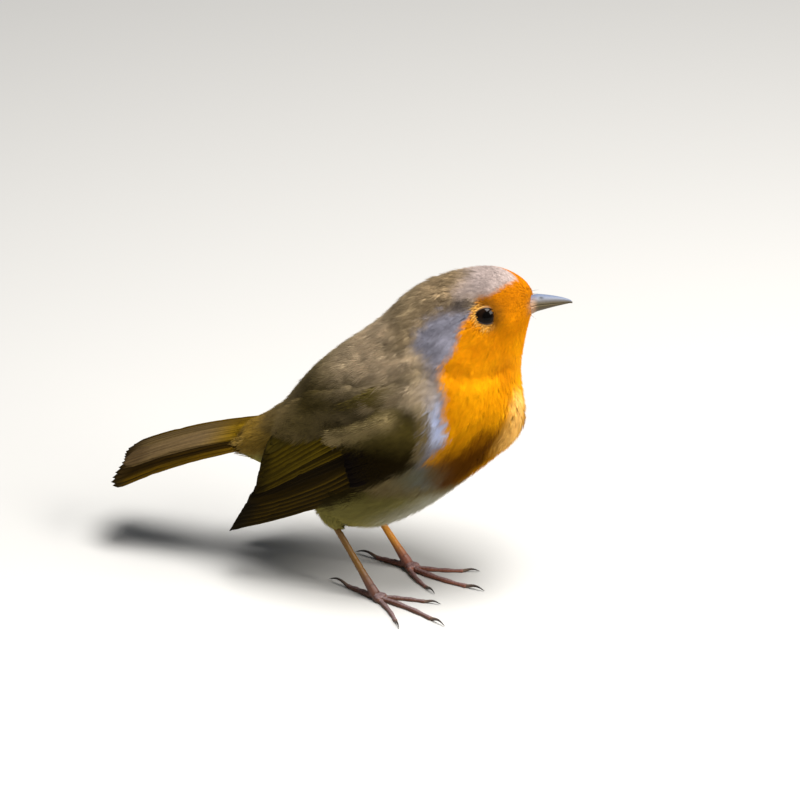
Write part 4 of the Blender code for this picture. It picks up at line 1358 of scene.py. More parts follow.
# %% Growing them
lay_tract("coat_face", "bristly", face, 0.27, 0.42, 11, thickness=0.03, sway=0.16, slot="orange_plumage")
lay_tract("coat_hood", "soft", hood, 0.42, 0.40, 12, thickness=0.035, sway=0.18)
lay_tract("coat_breast", "soft", front, 0.50, 0.34, 13, sway=0.26, stray=0.25, slot="orange_plumage")
lay_tract("coat_nape", "soft", nape, 0.60, 0.46, 19, sway=0.42, stray=0.50, longer=1.15, follow=0.55,
          contrast=0.4)
lay_tract("coat_back", "soft", body & grown_on("back", "neck") & ~nape, 0.56, 0.40, 14, sway=0.3,
          stray=0.35, contrast=0.4)
lay_tract("coat_belly", "soft", body & grown_on("belly", "breast"), 0.56, 0.34, 15, sway=0.3,
          stray=0.3, slot="pale_plumage")
lay_tract("coat_rump", "soft", rest & grown_on("rump"), 0.56, 0.34, 16, sway=0.2, stray=0.15, longer=1.5)
lay_tract("coat_thighs", "soft", rest & grown_on(*THIGHS), 0.40, 0.34, 17, sway=0.25, longer=0.6,
          slot="pale_plumage")
lay_tract("coat_shoulders", "soft", small_coverts, 0.44, 0.44, 18, sway=0.16, longer=0.8,
          on_wing=1.0)

# %% [markdown]
# ### The scapulars
#
# The scapulars are the soft feathers that hang from the shoulder over the roots of the folded
# wing. They lie on the big feathers, not on the skin, so their ground is a sheet of the wing's
# own surface, a little above the vanes, with the lie and lengths of the back.

# %% The scapulars
SCAPULAR_PATCH = [(-10.5, 47.5), (-11.5, 43.5), (-8.0, 43.2), (-3.0, 44.6), (2.0, 46.6), (8.0, 50.0),
                  (15.5, 54.4), (15.5, 59.0), (7.0, 57.5), (-3.0, 53.5)]
SHEET_STEP, SHEET_LIFT = 0.6, 0.05
SHEET_COAT, SHEET_LONG = 1.5, 5.0


def grid_quads(rows, columns, start=0):
    """Faces of a grid of points given row by row, whose points begin at start."""
    corners = [start + row * columns + column for row in range(rows - 1) for column in range(columns - 1)]
    return [(a, a + columns, a + columns + 1, a + 1) for a in corners]


def scapular_ground():
    """A sheet over both wings, with all that a tract of tufts asks of its ground."""
    across, up = np.arange(-14.0, 16.0, SHEET_STEP), np.arange(40.0, 60.0, SHEET_STEP)
    places = np.stack(np.meshgrid(across, up, indexing="ij"), axis=-1).reshape(-1, 2)
    chart = on_tube(places)
    points, outward, faces = [], [], []
    for side in SIDES.values():
        start = count_of(points)
        points.append(wing_place(chart, SHEET_LIFT, side))
        outward.append(unit(wing_place(chart, 1.0, side) - wing_place(chart, 0.0, side)))
        quads = grid_quads(len(across), len(up), start)
        faces += quads if side < 0 else [quad[::-1] for quad in quads]
    points, outward = np.vstack(points), np.vstack(outward)
    mesh = as_mesh("scapular_ground", points, faces, tuft_finish)
    lie = unit(WING_WAY - outward * (outward @ WING_WAY)[:, None])
    depth, length = np.full((2, len(points)), ((SHEET_COAT * MM,), (SHEET_LONG * MM,)))
    for name, values in (("outward", outward), ("lie", lie), ("coat", depth), ("long", length)):
        put(mesh, name, values)
    many = inside_outline(points[:, [0, 2]], SCAPULAR_PATCH)
    print("the scapulars grow from", int(many.sum()), "points of the sheet")
    return mesh, many


scapular_sheet, scapulars = scapular_ground()
scapular_form = bpy.data.objects.new("scapular_form", scapular_sheet)
lay_tract("coat_scapulars", "soft", scapulars, 0.46, 0.42, 20, sway=0.3, stray=0.25, contrast=0.35,
          ground=(scapular_sheet, scapular_form))

# %% [markdown]
# Between the tufts the skin shows only as depth, so it gets the plumage's own colour at half its
# strength: a painted shade. Faces that cross the seam of its map are moved to one side of it.

# %% The skin as a piece
def skin_piece():
    mesh = skin_mesh
    for name in ("outward", "lie", "coat", "long"):
        mesh.attributes.remove(mesh.attributes[name])
    put_colour(mesh, skin_colour * ROOT_SHADE)
    places = unwrap(points_of(mesh))[corner_vertices(mesh)]
    starts = read(mesh.polygons, "loop_start", kind=int)
    face_of = np.repeat(np.arange(len(starts)), read(mesh.polygons, "loop_total", kind=int))
    low = np.minimum.reduceat(places[:, 0], starts)[face_of]
    high = np.maximum.reduceat(places[:, 0], starts)[face_of]
    over_seam = (high - low > 0.5) & (places[:, 0] < 0.5)
    places[over_seam, 0] += 1 - 3 * SEAM_MARGIN
    add_map(mesh, places)
    smooth_shaded(mesh)
    mesh.materials.clear()
    mesh.materials.append(skin_finish)
    show("skin", mesh, FLESH)


skin_piece()

# %% [markdown]
# ## Flight feathers
#
# The big feathers of wing and tail are built one by one, because each one shows. Every one is a
# vane: a thin closed blade on either side of a raised shaft, narrow in front and broad behind,
# round at the tip, a little bowed and cambered. It is drawn flat, as (distance along, distance
# across) on the wing's tube or on the tail's plate, and then set in place, so the whole fan bends
# with the bird. Neighbours overlap like shingles: the front edge of each lies on the one below.

# %% Closed plates
def plate_faces(rows, columns):
    """Faces of a closed plate: an upper grid, a lower grid after it, and the rim between."""
    under = rows * columns
    faces = []
    for quad in grid_quads(rows, columns):
        faces += [quad, tuple(under + v for v in reversed(quad))]
    rim = list(range(columns))
    rim += [row * columns + columns - 1 for row in range(1, rows)]
    rim += [(rows - 1) * columns + column for column in range(columns - 2, -1, -1)]
    rim += [row * columns for row in range(rows - 2, 0, -1)]
    faces += [(a, b, under + b, under + a) for a, b in zip(rim, rim[1:] + rim[:1])]
    return faces


ACROSS = np.array([-1.0, -0.72, -0.38, -0.09, 0.0, 0.09, 0.38, 0.72, 1.0])
ROWS, VANE_THICK = 25, 0.10
VANE_FACES = plate_faces(ROWS, len(ACROSS))
print("a vane has", len(VANE_FACES), "faces")


# %% One vane
class Fan:
    """Collects vanes and turns them into one piece."""

    def __init__(self, seed):
        self.draw = np.random.default_rng(seed)
        self.points, self.faces, self.colours, self.barbs, self.cells = [], [], [], [], []

    def vane(self, place, root, tip, outer, inner, colour, lift, tilt, blunt, bow=0.0):
        """Adds one vane; place turns (along, across) rows and a lift into points of the bird."""
        root, tip = np.array(root, float), np.array(tip, float)
        way = tip - root
        ahead = way / np.linalg.norm(way)
        aside = np.array([-ahead[1], ahead[0]])
        share = np.linspace(0, 1, ROWS) ** 0.92
        grow = np.clip(share / 0.14, 0, 1) ** 0.6
        end = np.clip((share - blunt) / (1 - blunt), 0, 1)
        narrow = grow * np.sqrt(np.clip(1 - end**2.3, 0, 1)) + 0.02
        worn = 1 + self.draw.uniform(-0.03, 0.03, (2, ROWS))
        for edge in worn:
            edge[self.draw.integers(ROWS // 2, ROWS - 2)] -= self.draw.uniform(0.05, 0.22)
        rows_across, rows_share = np.meshgrid(ACROSS, share)
        outer_half, inner_half = (narrow * worn)[..., None] * np.reshape((outer, inner), (2, 1, 1))
        off = rows_across * np.where(rows_across < 0, outer_half, inner_half)
        lag = 0.35 * np.abs(off) * end[:, None]
        centre = root + share[:, None] * way + (bow * 4 * share * (1 - share))[:, None] * aside
        flat = centre[:, None] + off[..., None] * aside - lag[..., None] * ahead
        base = lift[0] + (lift[1] - lift[0]) * share[:, None]
        height = base - tilt * off - 0.12 * (off / max(inner, 0.1)) ** 2 + 0.09 * (rows_across == 0)
        body = VANE_THICK * (1 - 0.75 * rows_across**2)
        start = count_of(self.points)
        for level in (0.5, -0.5):
            self.points.append(place(flat.reshape(-1, 2), (height + level * body).ravel()))
        tone = self.draw.uniform(-1, 1)
        length = np.linalg.norm(way)
        barb = np.stack([rows_share * length, off, 0 * off + len(self.cells)], axis=-1).reshape(-1, 3)
        painted_rows = colour(rows_share.ravel(), rows_across.ravel(), tone)
        self.colours += [painted_rows, painted_rows]
        self.barbs += [barb, barb]
        self.cells.append(np.stack([(rows_across.ravel() + 1) / 2, rows_share.ravel()], axis=1))
        self.faces += [tuple(start + v for v in face) for face in VANE_FACES]

    def piece(self, name, material, slot, replaces, flip):
        """The finished piece; flip turns the faces of a mirrored one outwards."""
        faces = [face[::-1] for face in self.faces] if flip else self.faces
        mesh = as_mesh(name, np.vstack(self.points), faces, material)
        put_colour(mesh, np.vstack(self.colours))
        put(mesh, "barbs", np.vstack(self.barbs))
        cells = math.ceil(math.sqrt(len(self.cells)))
        places = []
        for number, cell in enumerate(self.cells):
            corner = np.array([number % cells, number // cells]) / cells
            for shift in (0.0, 0.015):
                places.append(corner + (0.06 + 0.86 * cell + shift) / cells)
        add_map(mesh, np.vstack(places)[corner_vertices(mesh)])
        show(name, mesh, replaces)


print("a fan gives each vane", 2 * ROWS * len(ACROSS), "points")

# %% [markdown]
# ### Colours and barbs of the vanes
#
# A robin's flight feathers are dark brown with thin olive edges on the front vane only, which is
# why a folded wing looks finely striped. The shaft is a little darker than the vane. The barbs
# leave the shaft at a slant, and the shader shows them as fine ridges that follow each vane's own
# measure along and across.

# %% Vane colours and finish
def vane_colour(dark, edge, edge_width, tip=None, shaft=0.6, tip_start=0.86, base=None):
    """A colour rule for one kind of vane: dark inside, with an edge along the front vane."""
    def colour(share, across, tone):
        made = np.tile(dark, (len(share), 1)) * (1 + 0.14 * tone)
        rim = eased((-across - 1 + edge_width) / edge_width) * (1 - 0.5 * share)
        made = painted(made, edge, rim)
        made = painted(made, np.array(dark) * 0.55, 0.55 * eased((across - 0.1) / 0.5))
        if base is not None:
            made = painted(made, base, eased((0.48 - share) / 0.25))
        if tip is not None:
            made = painted(made, tip, eased((share - tip_start) / 0.12))
        return made * np.where(np.abs(across) < 0.05, shaft, 1.0)[:, None]
    return colour


STREAK_STRETCH = (0.07, 1.9, 7.3)


def vane_finish(name):
    """Plumage with slanting barbs that follow the vane."""
    made, shader = plain_finish(name, (0.5, 0.5, 0.5), 0.6)
    tree = made.node_tree
    barbs = out(add(tree, "ShaderNodeAttribute", {"attribute_name": "barbs"}), "Vector")
    parts = add(tree, "ShaderNodeSeparateXYZ", None, {0: barbs})
    slant = maths(tree, "ABSOLUTE", parts.outputs["Y"], 0.0)
    phase = maths(tree, "SUBTRACT", parts.outputs["X"], maths(tree, "MULTIPLY", slant, 1.3))
    wave = maths(tree, "SINE", maths(tree, "MULTIPLY", phase, 21.0), 0.0)
    noise = noise_in(tree, 1100.0, 4.0, 0.65)
    mixed = maths(tree, "ADD", maths(tree, "MULTIPLY", wave, 0.10), noise)
    streak = add(tree, "ShaderNodeTexNoise", None, {
        "Vector": vectors(tree, "MULTIPLY", barbs, STREAK_STRETCH), "Scale": 1.0, "Detail": 3.0,
        "Roughness": 0.7})
    shade = maths(tree, "MULTIPLY", ranged(tree, mixed, 0.82, 1.18, 0.2, 0.8),
                  ranged(tree, out(streak), 0.55, 1.5, 0.3, 0.7))
    joined(tree, shader, scaled(tree, stored_colour(tree), shade), ranged(tree, noise, 0.58, 0.82),
           mixed, 0.45, 0.00004)
    shader.inputs["Specular IOR Level"].default_value = PLUMAGE_GLOSS
    return made


vanes = vane_finish("flight_vanes")
# The wing's browns are set darker than a robin's own flight feathers: painted shade on the wing's upright
# side, which the light from above hardly reaches.
OLIVE_EDGE = (0.092, 0.062, 0.003)
secondary = vane_colour((0.030, 0.019, 0.001), OLIVE_EDGE, 0.65, tip=(0.020, 0.013, 0.001), tip_start=0.84)
primary = vane_colour((0.014, 0.008, 0.0006), (0.060, 0.036, 0.002), 0.6, tip=(0.009, 0.006, 0.002))
primary_pale = vane_colour((0.024, 0.015, 0.001), (0.078, 0.050, 0.002), 0.6, tip=(0.016, 0.010, 0.001))
# A painted shadow that the secondaries cast on the top primaries.
primary_shadowed = vane_colour((0.007, 0.004, 0.0005), (0.014, 0.008, 0.001), 0.4)
tertial = vane_colour((0.032, 0.022, 0.002), (0.064, 0.046, 0.006), 0.50)
# The primary coverts' own near black, deepened with painted shade under the wing's bulge.
covert_shade_and_black = vane_colour((0.003, 0.0015, 0.0008), (0.008, 0.005, 0.001), 0.3)
covert_dark = vane_colour((0.015, 0.010, 0.001), (0.036, 0.025, 0.004), 0.45)

print("the finish of the vanes has", len(vanes.node_tree.nodes), "nodes")

# %% [markdown]
# ### The folded wing
#
# Seen from outside, a folded wing is a stack. Three broad tertials lie on top, next to the back.
# Under them the secondaries, then the long primaries, whose tips reach furthest back; the top
# primaries lie in a painted shadow of the secondaries. Over the roots of these lie the greater
# coverts and, lower down, the almost black primary coverts, deepened with painted shade, which end
# in one step. The smaller coverts over those are part of the coat. Each row is a loop between its
# first and its last feather, given as root and tip in side view.

# %% Rows of the wing
WING_ROWS = [
    # name, count, first root, last root, first tip, last tip, outer, inner, lift, bow, tilt, colour
    ("outer_primaries", 6, (12.0, 41.6), (14.5, 33.6), (-20.2, 20.4), (-25.2, 11.4), 1.2, 3.4,
     (-1.4, -0.70), -1.6, 0.12, primary),
    # The top primaries, in a painted shadow of the secondaries.
    ("dark_primaries", 3, (10.7, 44.6), (11.6, 42.2), (-18.2, 24.0), (-19.6, 21.4), 1.0, 3.0,
     (-1.5, -1.0), 0.2, 0.12, primary_shadowed),
    ("inner_primaries", 2, (10.0, 46.0), (10.4, 45.1), (-17.0, 25.8), (-17.7, 24.8), 1.2, 3.4,
     (-1.5, -0.9), 0.5, 0.12, primary_pale),
    ("secondaries", 7, (5.5, 53.5), (9.0, 47.6), (-15.4, 35.6), (-16.9, 27.0), 1.4, 4.0,
     (-0.8, -0.32), 0.5, 0.10, secondary),
    ("tertials", 4, (3.0, 54.0), (6.5, 54.5), (-11.0, 43.7), (-15.0, 36.0), 1.8, 3.6,
     (-0.7, -0.22), 0.9, 0.07, tertial),
    ("greater_coverts", 6, (13.0, 55.0), (19.5, 50.0), (0.4, 46.6), (6.9, 41.8), 1.2, 2.2,
     (-0.9, -0.16), 0.3, 0.10, covert_dark),
    # The primary coverts' near black is deepened with painted shade.
    ("primary_coverts", 7, (18.5, 48.0), (19.8, 38.5), (7.2, 41.2), (8.4, 32.6), 1.05, 2.3,
     (-0.8, -0.02), 0.3, 0.12, covert_shade_and_black),
]
JITTER = 0.22


def build_wing(side_name, side):
    fan = Fan(31)
    for _, count, *ends, outer, inner, lift, bow, tilt, colour in WING_ROWS:
        first_root, last_root, first_tip, last_tip = (np.array(end) for end in ends)
        for number in reversed(range(count)):
            share = number / (count - 1)
            root = on_tube(first_root + (last_root - first_root) * share)[0]
            tip = on_tube(first_tip + (last_tip - first_tip) * share)[0]
            tip = tip + fan.draw.uniform(-JITTER, JITTER, 2)
            fan.vane(lambda chart, height: wing_place(chart, height, side), root, tip, outer, inner,
                     colour, bow=bow, lift=lift, tilt=tilt, blunt=0.66)
    cad = [f"wing_{side_name}_{part}" for part in ("primaries", "secondaries")]
    fan.piece("flight_feathers_" + side_name, vanes, "flight_feathers", cad, flip=side > 0)


for side_name, side in SIDES.items():
    build_wing(side_name, side)

# %% [markdown]
# ### The tail
#
# Twelve feathers make the tail, six on each side of the middle. The middle pair lies on top and
# each further one slides a little lower and further out, which gives the fine long stripes. The
# tail leaves the rump along a falling line. It is slightly arched, and rolled with its right edge
# down. The left half is painted browner, as painted light on the far side, and the right half
# darker, so each has its own list of colours.

# %% The tail's plate
TAIL_LINE = [(-16.6, 36.0), (-26.6, 32.8), (-36.6, 29.2), (-46.6, 24.8), (-57.0, 19.4)]
TAIL_ROLL, TAIL_SWING = math.radians(20.0), math.radians(4.0)
TAIL_ARCH, TAIL_HALF = 0.9, 9.0
TAIL_SWING_X, PAST_TIP = -14.6, 20.0
tail_fine = through(TAIL_LINE, 10)
tail_fine = np.vstack([tail_fine, tail_fine[-1] + PAST_TIP * unit(tail_fine[-1] - tail_fine[-2])])
tail_run = np.concatenate([[0], np.cumsum(np.linalg.norm(np.diff(tail_fine, axis=0), axis=1))])
tail_end = tail_run[-2]


def tail_place(chart, lift):
    """Points of the tail from (along, across) rows in millimetres and a height above its plate."""
    along, across = chart[:, 0], chart[:, 1]
    x, z = (np.interp(along, tail_run, values) for values in tail_fine.T)
    level = TAIL_ARCH * (1 - (across / TAIL_HALF) ** 2) + lift
    y = across * math.cos(TAIL_ROLL) - level * math.sin(TAIL_ROLL)
    z = z + across * math.sin(TAIL_ROLL) + level * math.cos(TAIL_ROLL)
    ahead, aside = swung(x - TAIL_SWING_X, y, -TAIL_SWING)
    return np.stack([TAIL_SWING_X + ahead, mid_y + aside, z], axis=1)


print("tail line", round(float(tail_end), 1), "mm long")

# %% Tail feathers
PAIRS = 6
TAIL_REACH = [-0.7, -0.3, 0.2, 0.5, 0.4, -0.6]
TAIL_TIP = (0.016, 0.009, 0.002)
middle_vane = vane_colour((0.083, 0.054, 0.024), (0.090, 0.058, 0.022), 0.6, tip=(0.050, 0.031, 0.013),
                          shaft=0.8, tip_start=0.78, base=(0.100, 0.057, 0.002))
second_vane = vane_colour((0.055, 0.034, 0.012), (0.080, 0.051, 0.018), 0.6, tip=TAIL_TIP,
                          base=(0.065, 0.036, 0.002))
dark_vane = vane_colour((0.006, 0.003, 0.0004), (0.023, 0.012, 0.001), 0.5, tip=TAIL_TIP)
outer_vane = vane_colour((0.018, 0.010, 0.001), (0.078, 0.041, 0.001), 0.7, tip=TAIL_TIP)
# Painted light: the browner feathers of the far, left half.
brown_lit_vane = vane_colour((0.042, 0.027, 0.010), (0.078, 0.050, 0.018), 0.6, tip=TAIL_TIP,
                         base=(0.065, 0.036, 0.002))
# The left half's browner feathers are painted light on the far side.
TAIL_COLOURS = {1: [middle_vane, second_vane, brown_lit_vane, brown_lit_vane, brown_lit_vane, outer_vane],
                -1: [middle_vane, second_vane, dark_vane, dark_vane, outer_vane, outer_vane]}
ROOT_SPREAD, TIP_SPREAD = 4.4, 8.0


def tail_feather(fan, pair, side):
    """One feather of the tail; those of a pair are mirror images apart from their colours."""
    spread = (pair + 0.5) / PAIRS
    root = (0.0, ROOT_SPREAD * spread)
    tip = (tail_end + TAIL_REACH[pair], TIP_SPREAD * spread)
    broad, narrow = (3.3, 1.7) if pair else (2.7, 2.4)
    colour = TAIL_COLOURS[side][pair]
    fan.vane(lambda chart, lift: tail_place(chart * (1, side), lift), root, tip, broad, narrow,
             lambda share, across, tone: colour(share, -across, tone),
             lift=(0.30 - 0.15 * pair, 0.42 - 0.16 * pair), tilt=-0.035, blunt=0.9)
    if side < 0:
        fan.faces[-len(VANE_FACES):] = [face[::-1] for face in fan.faces[-len(VANE_FACES):]]


fan = Fan(41)
for pair in reversed(range(PAIRS)):
    for side in (1, -1):
        tail_feather(fan, pair, side)
fan.piece("tail_feathers", vanes, "flight_feathers", ["tail"], flip=False)

# %% [markdown]
# ## The bill
#
# A robin's bill is slender and slightly decurved, dark horn with a paler, fleshy corner. It is
# lofted from rings, because that gives the two things that make a bill: a ridge on top that runs
# into the forehead, and a sharp cutting edge where the halves meet. The nostrils are pressed into
# the sides of the upper half.

# %% Half a bill
BILL_LENGTH, BILL_WIDTH = 9.45, 4.3
BILL_RISE, TIP_DROP = math.radians(7.0), 0.45
BILL_MEET = 77.1
BILL_RINGS, BILL_SIDES = 34, 28
BILL_TIP = 0.08
# where it lies along and round the half, and its length and height there
NOSTRIL = (0.20, 0.62, 0.055, 0.16)
# The pale blue-grey on top of the bill is a painted reflection of the light from above.
HORN_DARK, HORN_REFLECTION, GAPE_PINK = (0.074, 0.055, 0.021), (0.092, 0.112, 0.168), (0.50, 0.30, 0.18)
HEAD_SWING = math.radians(8.0)
bill_start = straightened(np.array([[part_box("bill_upper")[0].x / MM, bill_root[1], bill_root[2]]]))[0, 0]


def turned(points):
    """Points made looking straight ahead, turned with the head and put on the bird's mid-plane."""
    ahead, aside = swung(points[:, 0] - NECK_PIVOT_X, points[:, 1], HEAD_SWING)
    return np.stack([NECK_PIVOT_X + ahead, mid_y + aside, points[:, 2]], axis=1)


def tube_faces(rings, sides, start):
    """Faces of a closed loft whose points begin at start."""
    faces = [tuple(start + k for k in range(sides))]
    faces.append(tuple(start + (rings - 1) * sides + k for k in reversed(range(sides))))
    for ring in range(rings - 1):
        for k in range(sides):
            a, b = start + ring * sides + k, start + ring * sides + (k + 1) % sides
            faces.append((a, a + sides, b + sides, b))
    return faces


def bill_half(name, depth, taper, upwards, cad):
    """Half of the bill as a closed loft, curved outside and nearly flat where the halves meet."""
    points, colours = [], []
    for share in np.linspace(-0.10, 1, BILL_RINGS):
        left = 1 - max(share, 0.0)
        half = BILL_WIDTH / 2 * left**0.80 + BILL_TIP * (0.4 + left)
        height = depth * left**taper + BILL_TIP * (0.4 + left)
        along = bill_start + BILL_LENGTH * share
        meet = BILL_MEET + BILL_LENGTH * share * math.tan(BILL_RISE) - TIP_DROP * max(share, 0) ** 2.6
        meet -= 0.35 * fade(share, 0.12, -0.2)
        angle = np.linspace(0, math.pi, BILL_SIDES)
        outside = np.abs(np.sin(angle)) ** (0.86 if upwards > 0 else 0.95)
        across = half * np.cos(angle) * (1 - 0.10 * np.sin(angle) ** 2)
        nostril = np.exp(-((share - NOSTRIL[0]) / NOSTRIL[2]) ** 2)
        nostril = nostril * np.exp(-((np.abs(np.cos(angle)) - NOSTRIL[1]) / NOSTRIL[3]) ** 2)
        nostril = nostril * (upwards > 0)
        across = across * (1 - 0.20 * nostril)
        level = meet + upwards * (0.04 + height * outside)
        ring = np.stack([np.full(BILL_SIDES, along), across, level], axis=1)
        back = np.linspace(math.pi, 0, BILL_SIDES // 2)[1:-1]
        palate = np.stack([np.full(len(back), along), 0.82 * half * np.cos(back),
                           meet + upwards * (0.10 + 0.12 * np.sin(back))], axis=1)
        points.append(np.vstack([ring, palate]))
        rise = np.concatenate([outside, 0 * back])
        # A painted reflection on the top of the upper half, and a trace of it on the lower half.
        tint = painted(HORN_DARK, HORN_REFLECTION, rise**1.5 if upwards > 0 else 0.12 * rise)
        base = fade(share, 0.17, -0.20) * (1 - rise if upwards > 0 else 1 - 0.4 * rise)
        tint = painted(tint, GAPE_PINK, 0.9 * base)
        # Painted shade in the nostrils' dents.
        tint[:BILL_SIDES] *= (1 - 0.85 * nostril)[:, None]
        colours.append(tint)
    faces = tube_faces(BILL_RINGS, len(points[0]), 0)
    if upwards < 0:
        faces = [face[::-1] for face in faces]
    mesh = as_mesh(name, turned(np.vstack(points)), faces, horn)
    put_colour(mesh, np.vstack(colours))
    show(name, mesh, [cad])


print("the bill begins at x =", round(float(bill_start), 1), "with the head straight")

# %% Mandibles
HORN_GLOSS = 0.28


def horn_finish(name, roughness, coat):
    """A grained finish with the dull polish of horn."""
    made, shader = grained_finish(name, roughness, 1400.0, 4.0, 0.18, 0.25, 0.00004, HORN_GLOSS)
    shader.inputs["Coat Weight"].default_value = coat
    shader.inputs["Coat Roughness"].default_value = 0.25
    return made


horn = horn_finish("horn", 0.52, 0.0)
bill_half("bill_top", 2.0, 0.45, 1, "bill_upper")
bill_half("bill_bottom", 2.35, 1.0, -1, "bill_lower")

# %% [markdown]
# ## The eyes
#
# The eye of a robin is large, round and almost black: a dark brown iris round the pupil, under a
# clear, wet cornea. It is one closed ball with a slightly bulging front, set as deep as the real
# one, so that the lids cover most of it. The lids are thin bare rims that lie on the ball, with
# the short feathers of the eye ring just outside.

# %% Eyes
EYE_OUT = np.array([0.36, 0.88, 0.30])
LID_HALF = (2.62, 1.84)
EYE_RINGS, EYE_SIDES = 40, 56
PUPIL, IRIS_BROWN = np.array((0.0015, 0.0012, 0.001)), np.array((0.006, 0.0025, 0.001))


def eye_axes(side):
    """The eye's outward axis, and the long and the short axis of the slit between its lids."""
    outward = unit(EYE_OUT * (1, side, 1))
    long = unit(np.cross(outward, (0, 0, 1))) * side
    return outward, long, np.cross(long, outward) * side


def closed_piece(name, points, faces, colours, material, replaces=()):
    """A piece of closed shells from lists of points and colours, with its faces turned outwards."""
    mesh = as_mesh(name, np.vstack(points), faces, material)
    put_colour(mesh, np.vstack(colours))
    work = bmesh.new()
    work.from_mesh(mesh)
    bmesh.ops.recalc_face_normals(work, faces=work.faces)
    work.to_mesh(mesh)
    work.free()
    show(name, mesh, replaces)


def build_eye(side_name, side):
    """One eyeball, from rings round the way it looks."""
    outward, long, short = eye_axes(side)
    points, colours = [], []
    around = np.linspace(0, 2 * math.pi, EYE_SIDES, endpoint=False)
    for polar in np.linspace(0.02, math.pi - 0.02, EYE_RINGS):
        bulge = 0.10 * math.exp(-((polar / 0.62) ** 2))
        ring = outward * math.cos(polar) + math.sin(polar) * (
            np.cos(around)[:, None] * long + np.sin(around)[:, None] * short)
        points.append(EYES[side_name] + ring * (EYE_RADIUS - 0.02 + bulge))
        iris = eased((polar - 0.36) / 0.10) * eased((0.95 - polar) / 0.2)
        colours.append(np.tile(PUPIL + iris * IRIS_BROWN, (EYE_SIDES, 1)))
    closed_piece("eyeball_" + side_name, points, tube_faces(EYE_RINGS, EYE_SIDES, 0), colours, eye_gloss,
                 ["eye_" + side_name])


eye_gloss, eye_shader = plain_finish("eye_gloss", (0.5, 0.5, 0.5), 0.04)
eye_gloss.node_tree.links.new(stored_colour(eye_gloss.node_tree), eye_shader.inputs["Base Color"])
eye_shader.inputs["Specular IOR Level"].default_value = 0.07
for side_name, side in SIDES.items():
    build_eye(side_name, side)


# %% Lids
LID_STEPS = 64
LID_PROFILE = [(0.0, -0.16), (-0.02, 0.05), (0.07, 0.13), (0.19, 0.11), (0.27, 0.07), (0.38, 0.12),
               (0.55, 0.13), (0.80, 0.07), (1.15, -0.10), (1.25, -0.35)]
LID_EDGE, LID_RIM, LID_DOWN = (0.010, 0.007, 0.005), (0.13, 0.055, 0.010), (0.62, 0.36, 0.09)


def lid_band(side_name, side, points, faces, tints):
    """A closed band that lies on the eyeball round the slit, with a thin rim and a soft fold."""
    outward, long, short = eye_axes(side)
    start, sides = count_of(points), len(LID_PROFILE)
    for around in np.linspace(0, 2 * math.pi, LID_STEPS, endpoint=False):
        x = LID_HALF[0] * math.cos(around)
        y = LID_HALF[1] * math.sin(around) * abs(math.sin(around)) ** 0.12
        flow = unit(long * x + short * y)
        opening = math.asin(min(0.98, math.hypot(x, y) / EYE_RADIUS))
        behind = eased(np.array(0.5 - (flow[0] + 0.7 * flow[2]) / 1.6))
        for reach, lift in LID_PROFILE:
            polar = opening + reach / EYE_RADIUS
            radial = outward * math.cos(polar) + flow * math.sin(polar)
            points.append((EYES[side_name] + radial * (EYE_RADIUS + lift))[None])
            far = painted(np.array([LID_RIM]), LID_DOWN, eased((reach - 0.3) / 0.3) * behind[None])
            tints.append(painted(far, LID_EDGE, np.array([1.0 if reach < 0.1 else 0.0])))
    for step in range(LID_STEPS):
        after = (step + 1) % LID_STEPS
        for k in range(sides):
            a, b = start + step * sides, start + after * sides
            faces.append((a + k, b + k, b + (k + 1) % sides, a + (k + 1) % sides))


lid_skin = horn_finish("lid_skin", 0.7, 0.0)
points, faces, tints = [], [], []
for side_name, side in SIDES.items():
    lid_band(side_name, side, points, faces, tints)
closed_piece("eyelids", points, faces, tints, lid_skin)

# %% [markdown]
# ### Bristles at the gape
#
# A few stiff, hair-like feathers stand at each corner of a robin's bill and point forward. They
# are thin tapering shafts. One curve for each is enough, swept as a closed tube with five sides.

# %% Gape bristles
def swept(line, radii, sides, upright, flat=1.0):
    """Rings of points round a line, with a radius for each spot; flat narrows them sideways."""
    rings = []
    turn = np.linspace(0, 2 * math.pi, sides, endpoint=False)[:, None]
    for spot, run, radius in zip(line, unit(np.gradient(line, axis=0)), radii):
        side = unit(np.cross(run, upright))
        rings.append(spot + radius * (flat * np.cos(turn) * side + np.sin(turn) * np.cross(side, run)))
    return np.vstack(rings)


BRISTLES, BRISTLE_RINGS, BRISTLE_SIDES = 6, 7, 5
BRISTLE_RADII = 0.055 * (1 - 0.85 * np.arange(BRISTLE_RINGS) / (BRISTLE_RINGS - 1))
BRISTLE_BROWN = (0.03, 0.02, 0.012)
draw = np.random.default_rng(5)
points, faces = [], []
for side in SIDES.values():
    for number in range(BRISTLES):
        share = number / (BRISTLES - 1)
        foot = np.array([bill_start - 1.3 + 0.3 * share, side * (2.0 + 0.25 * share),
                         BILL_MEET + 1.9 - 3.6 * share])
        reach = draw.uniform(2.2, 3.4)
        way = np.array([0.86, side * (0.50 + 0.1 * share), 0.12 - 0.45 * share])
        droop = np.array([0.0, -side * 0.10, -0.06])
        steps = np.linspace(0, 1, BRISTLE_RINGS)[:, None]
        line = foot + reach * (steps * way + steps * steps * droop)
        faces += tube_faces(BRISTLE_RINGS, BRISTLE_SIDES, count_of(points))
        points.append(swept(turned(line), BRISTLE_RADII, BRISTLE_SIDES, (0.3, 0.2, 1)))
colours = np.tile(BRISTLE_BROWN, (count_of(points), 1))
closed_piece("gape_bristles", points, faces, colours, horn)

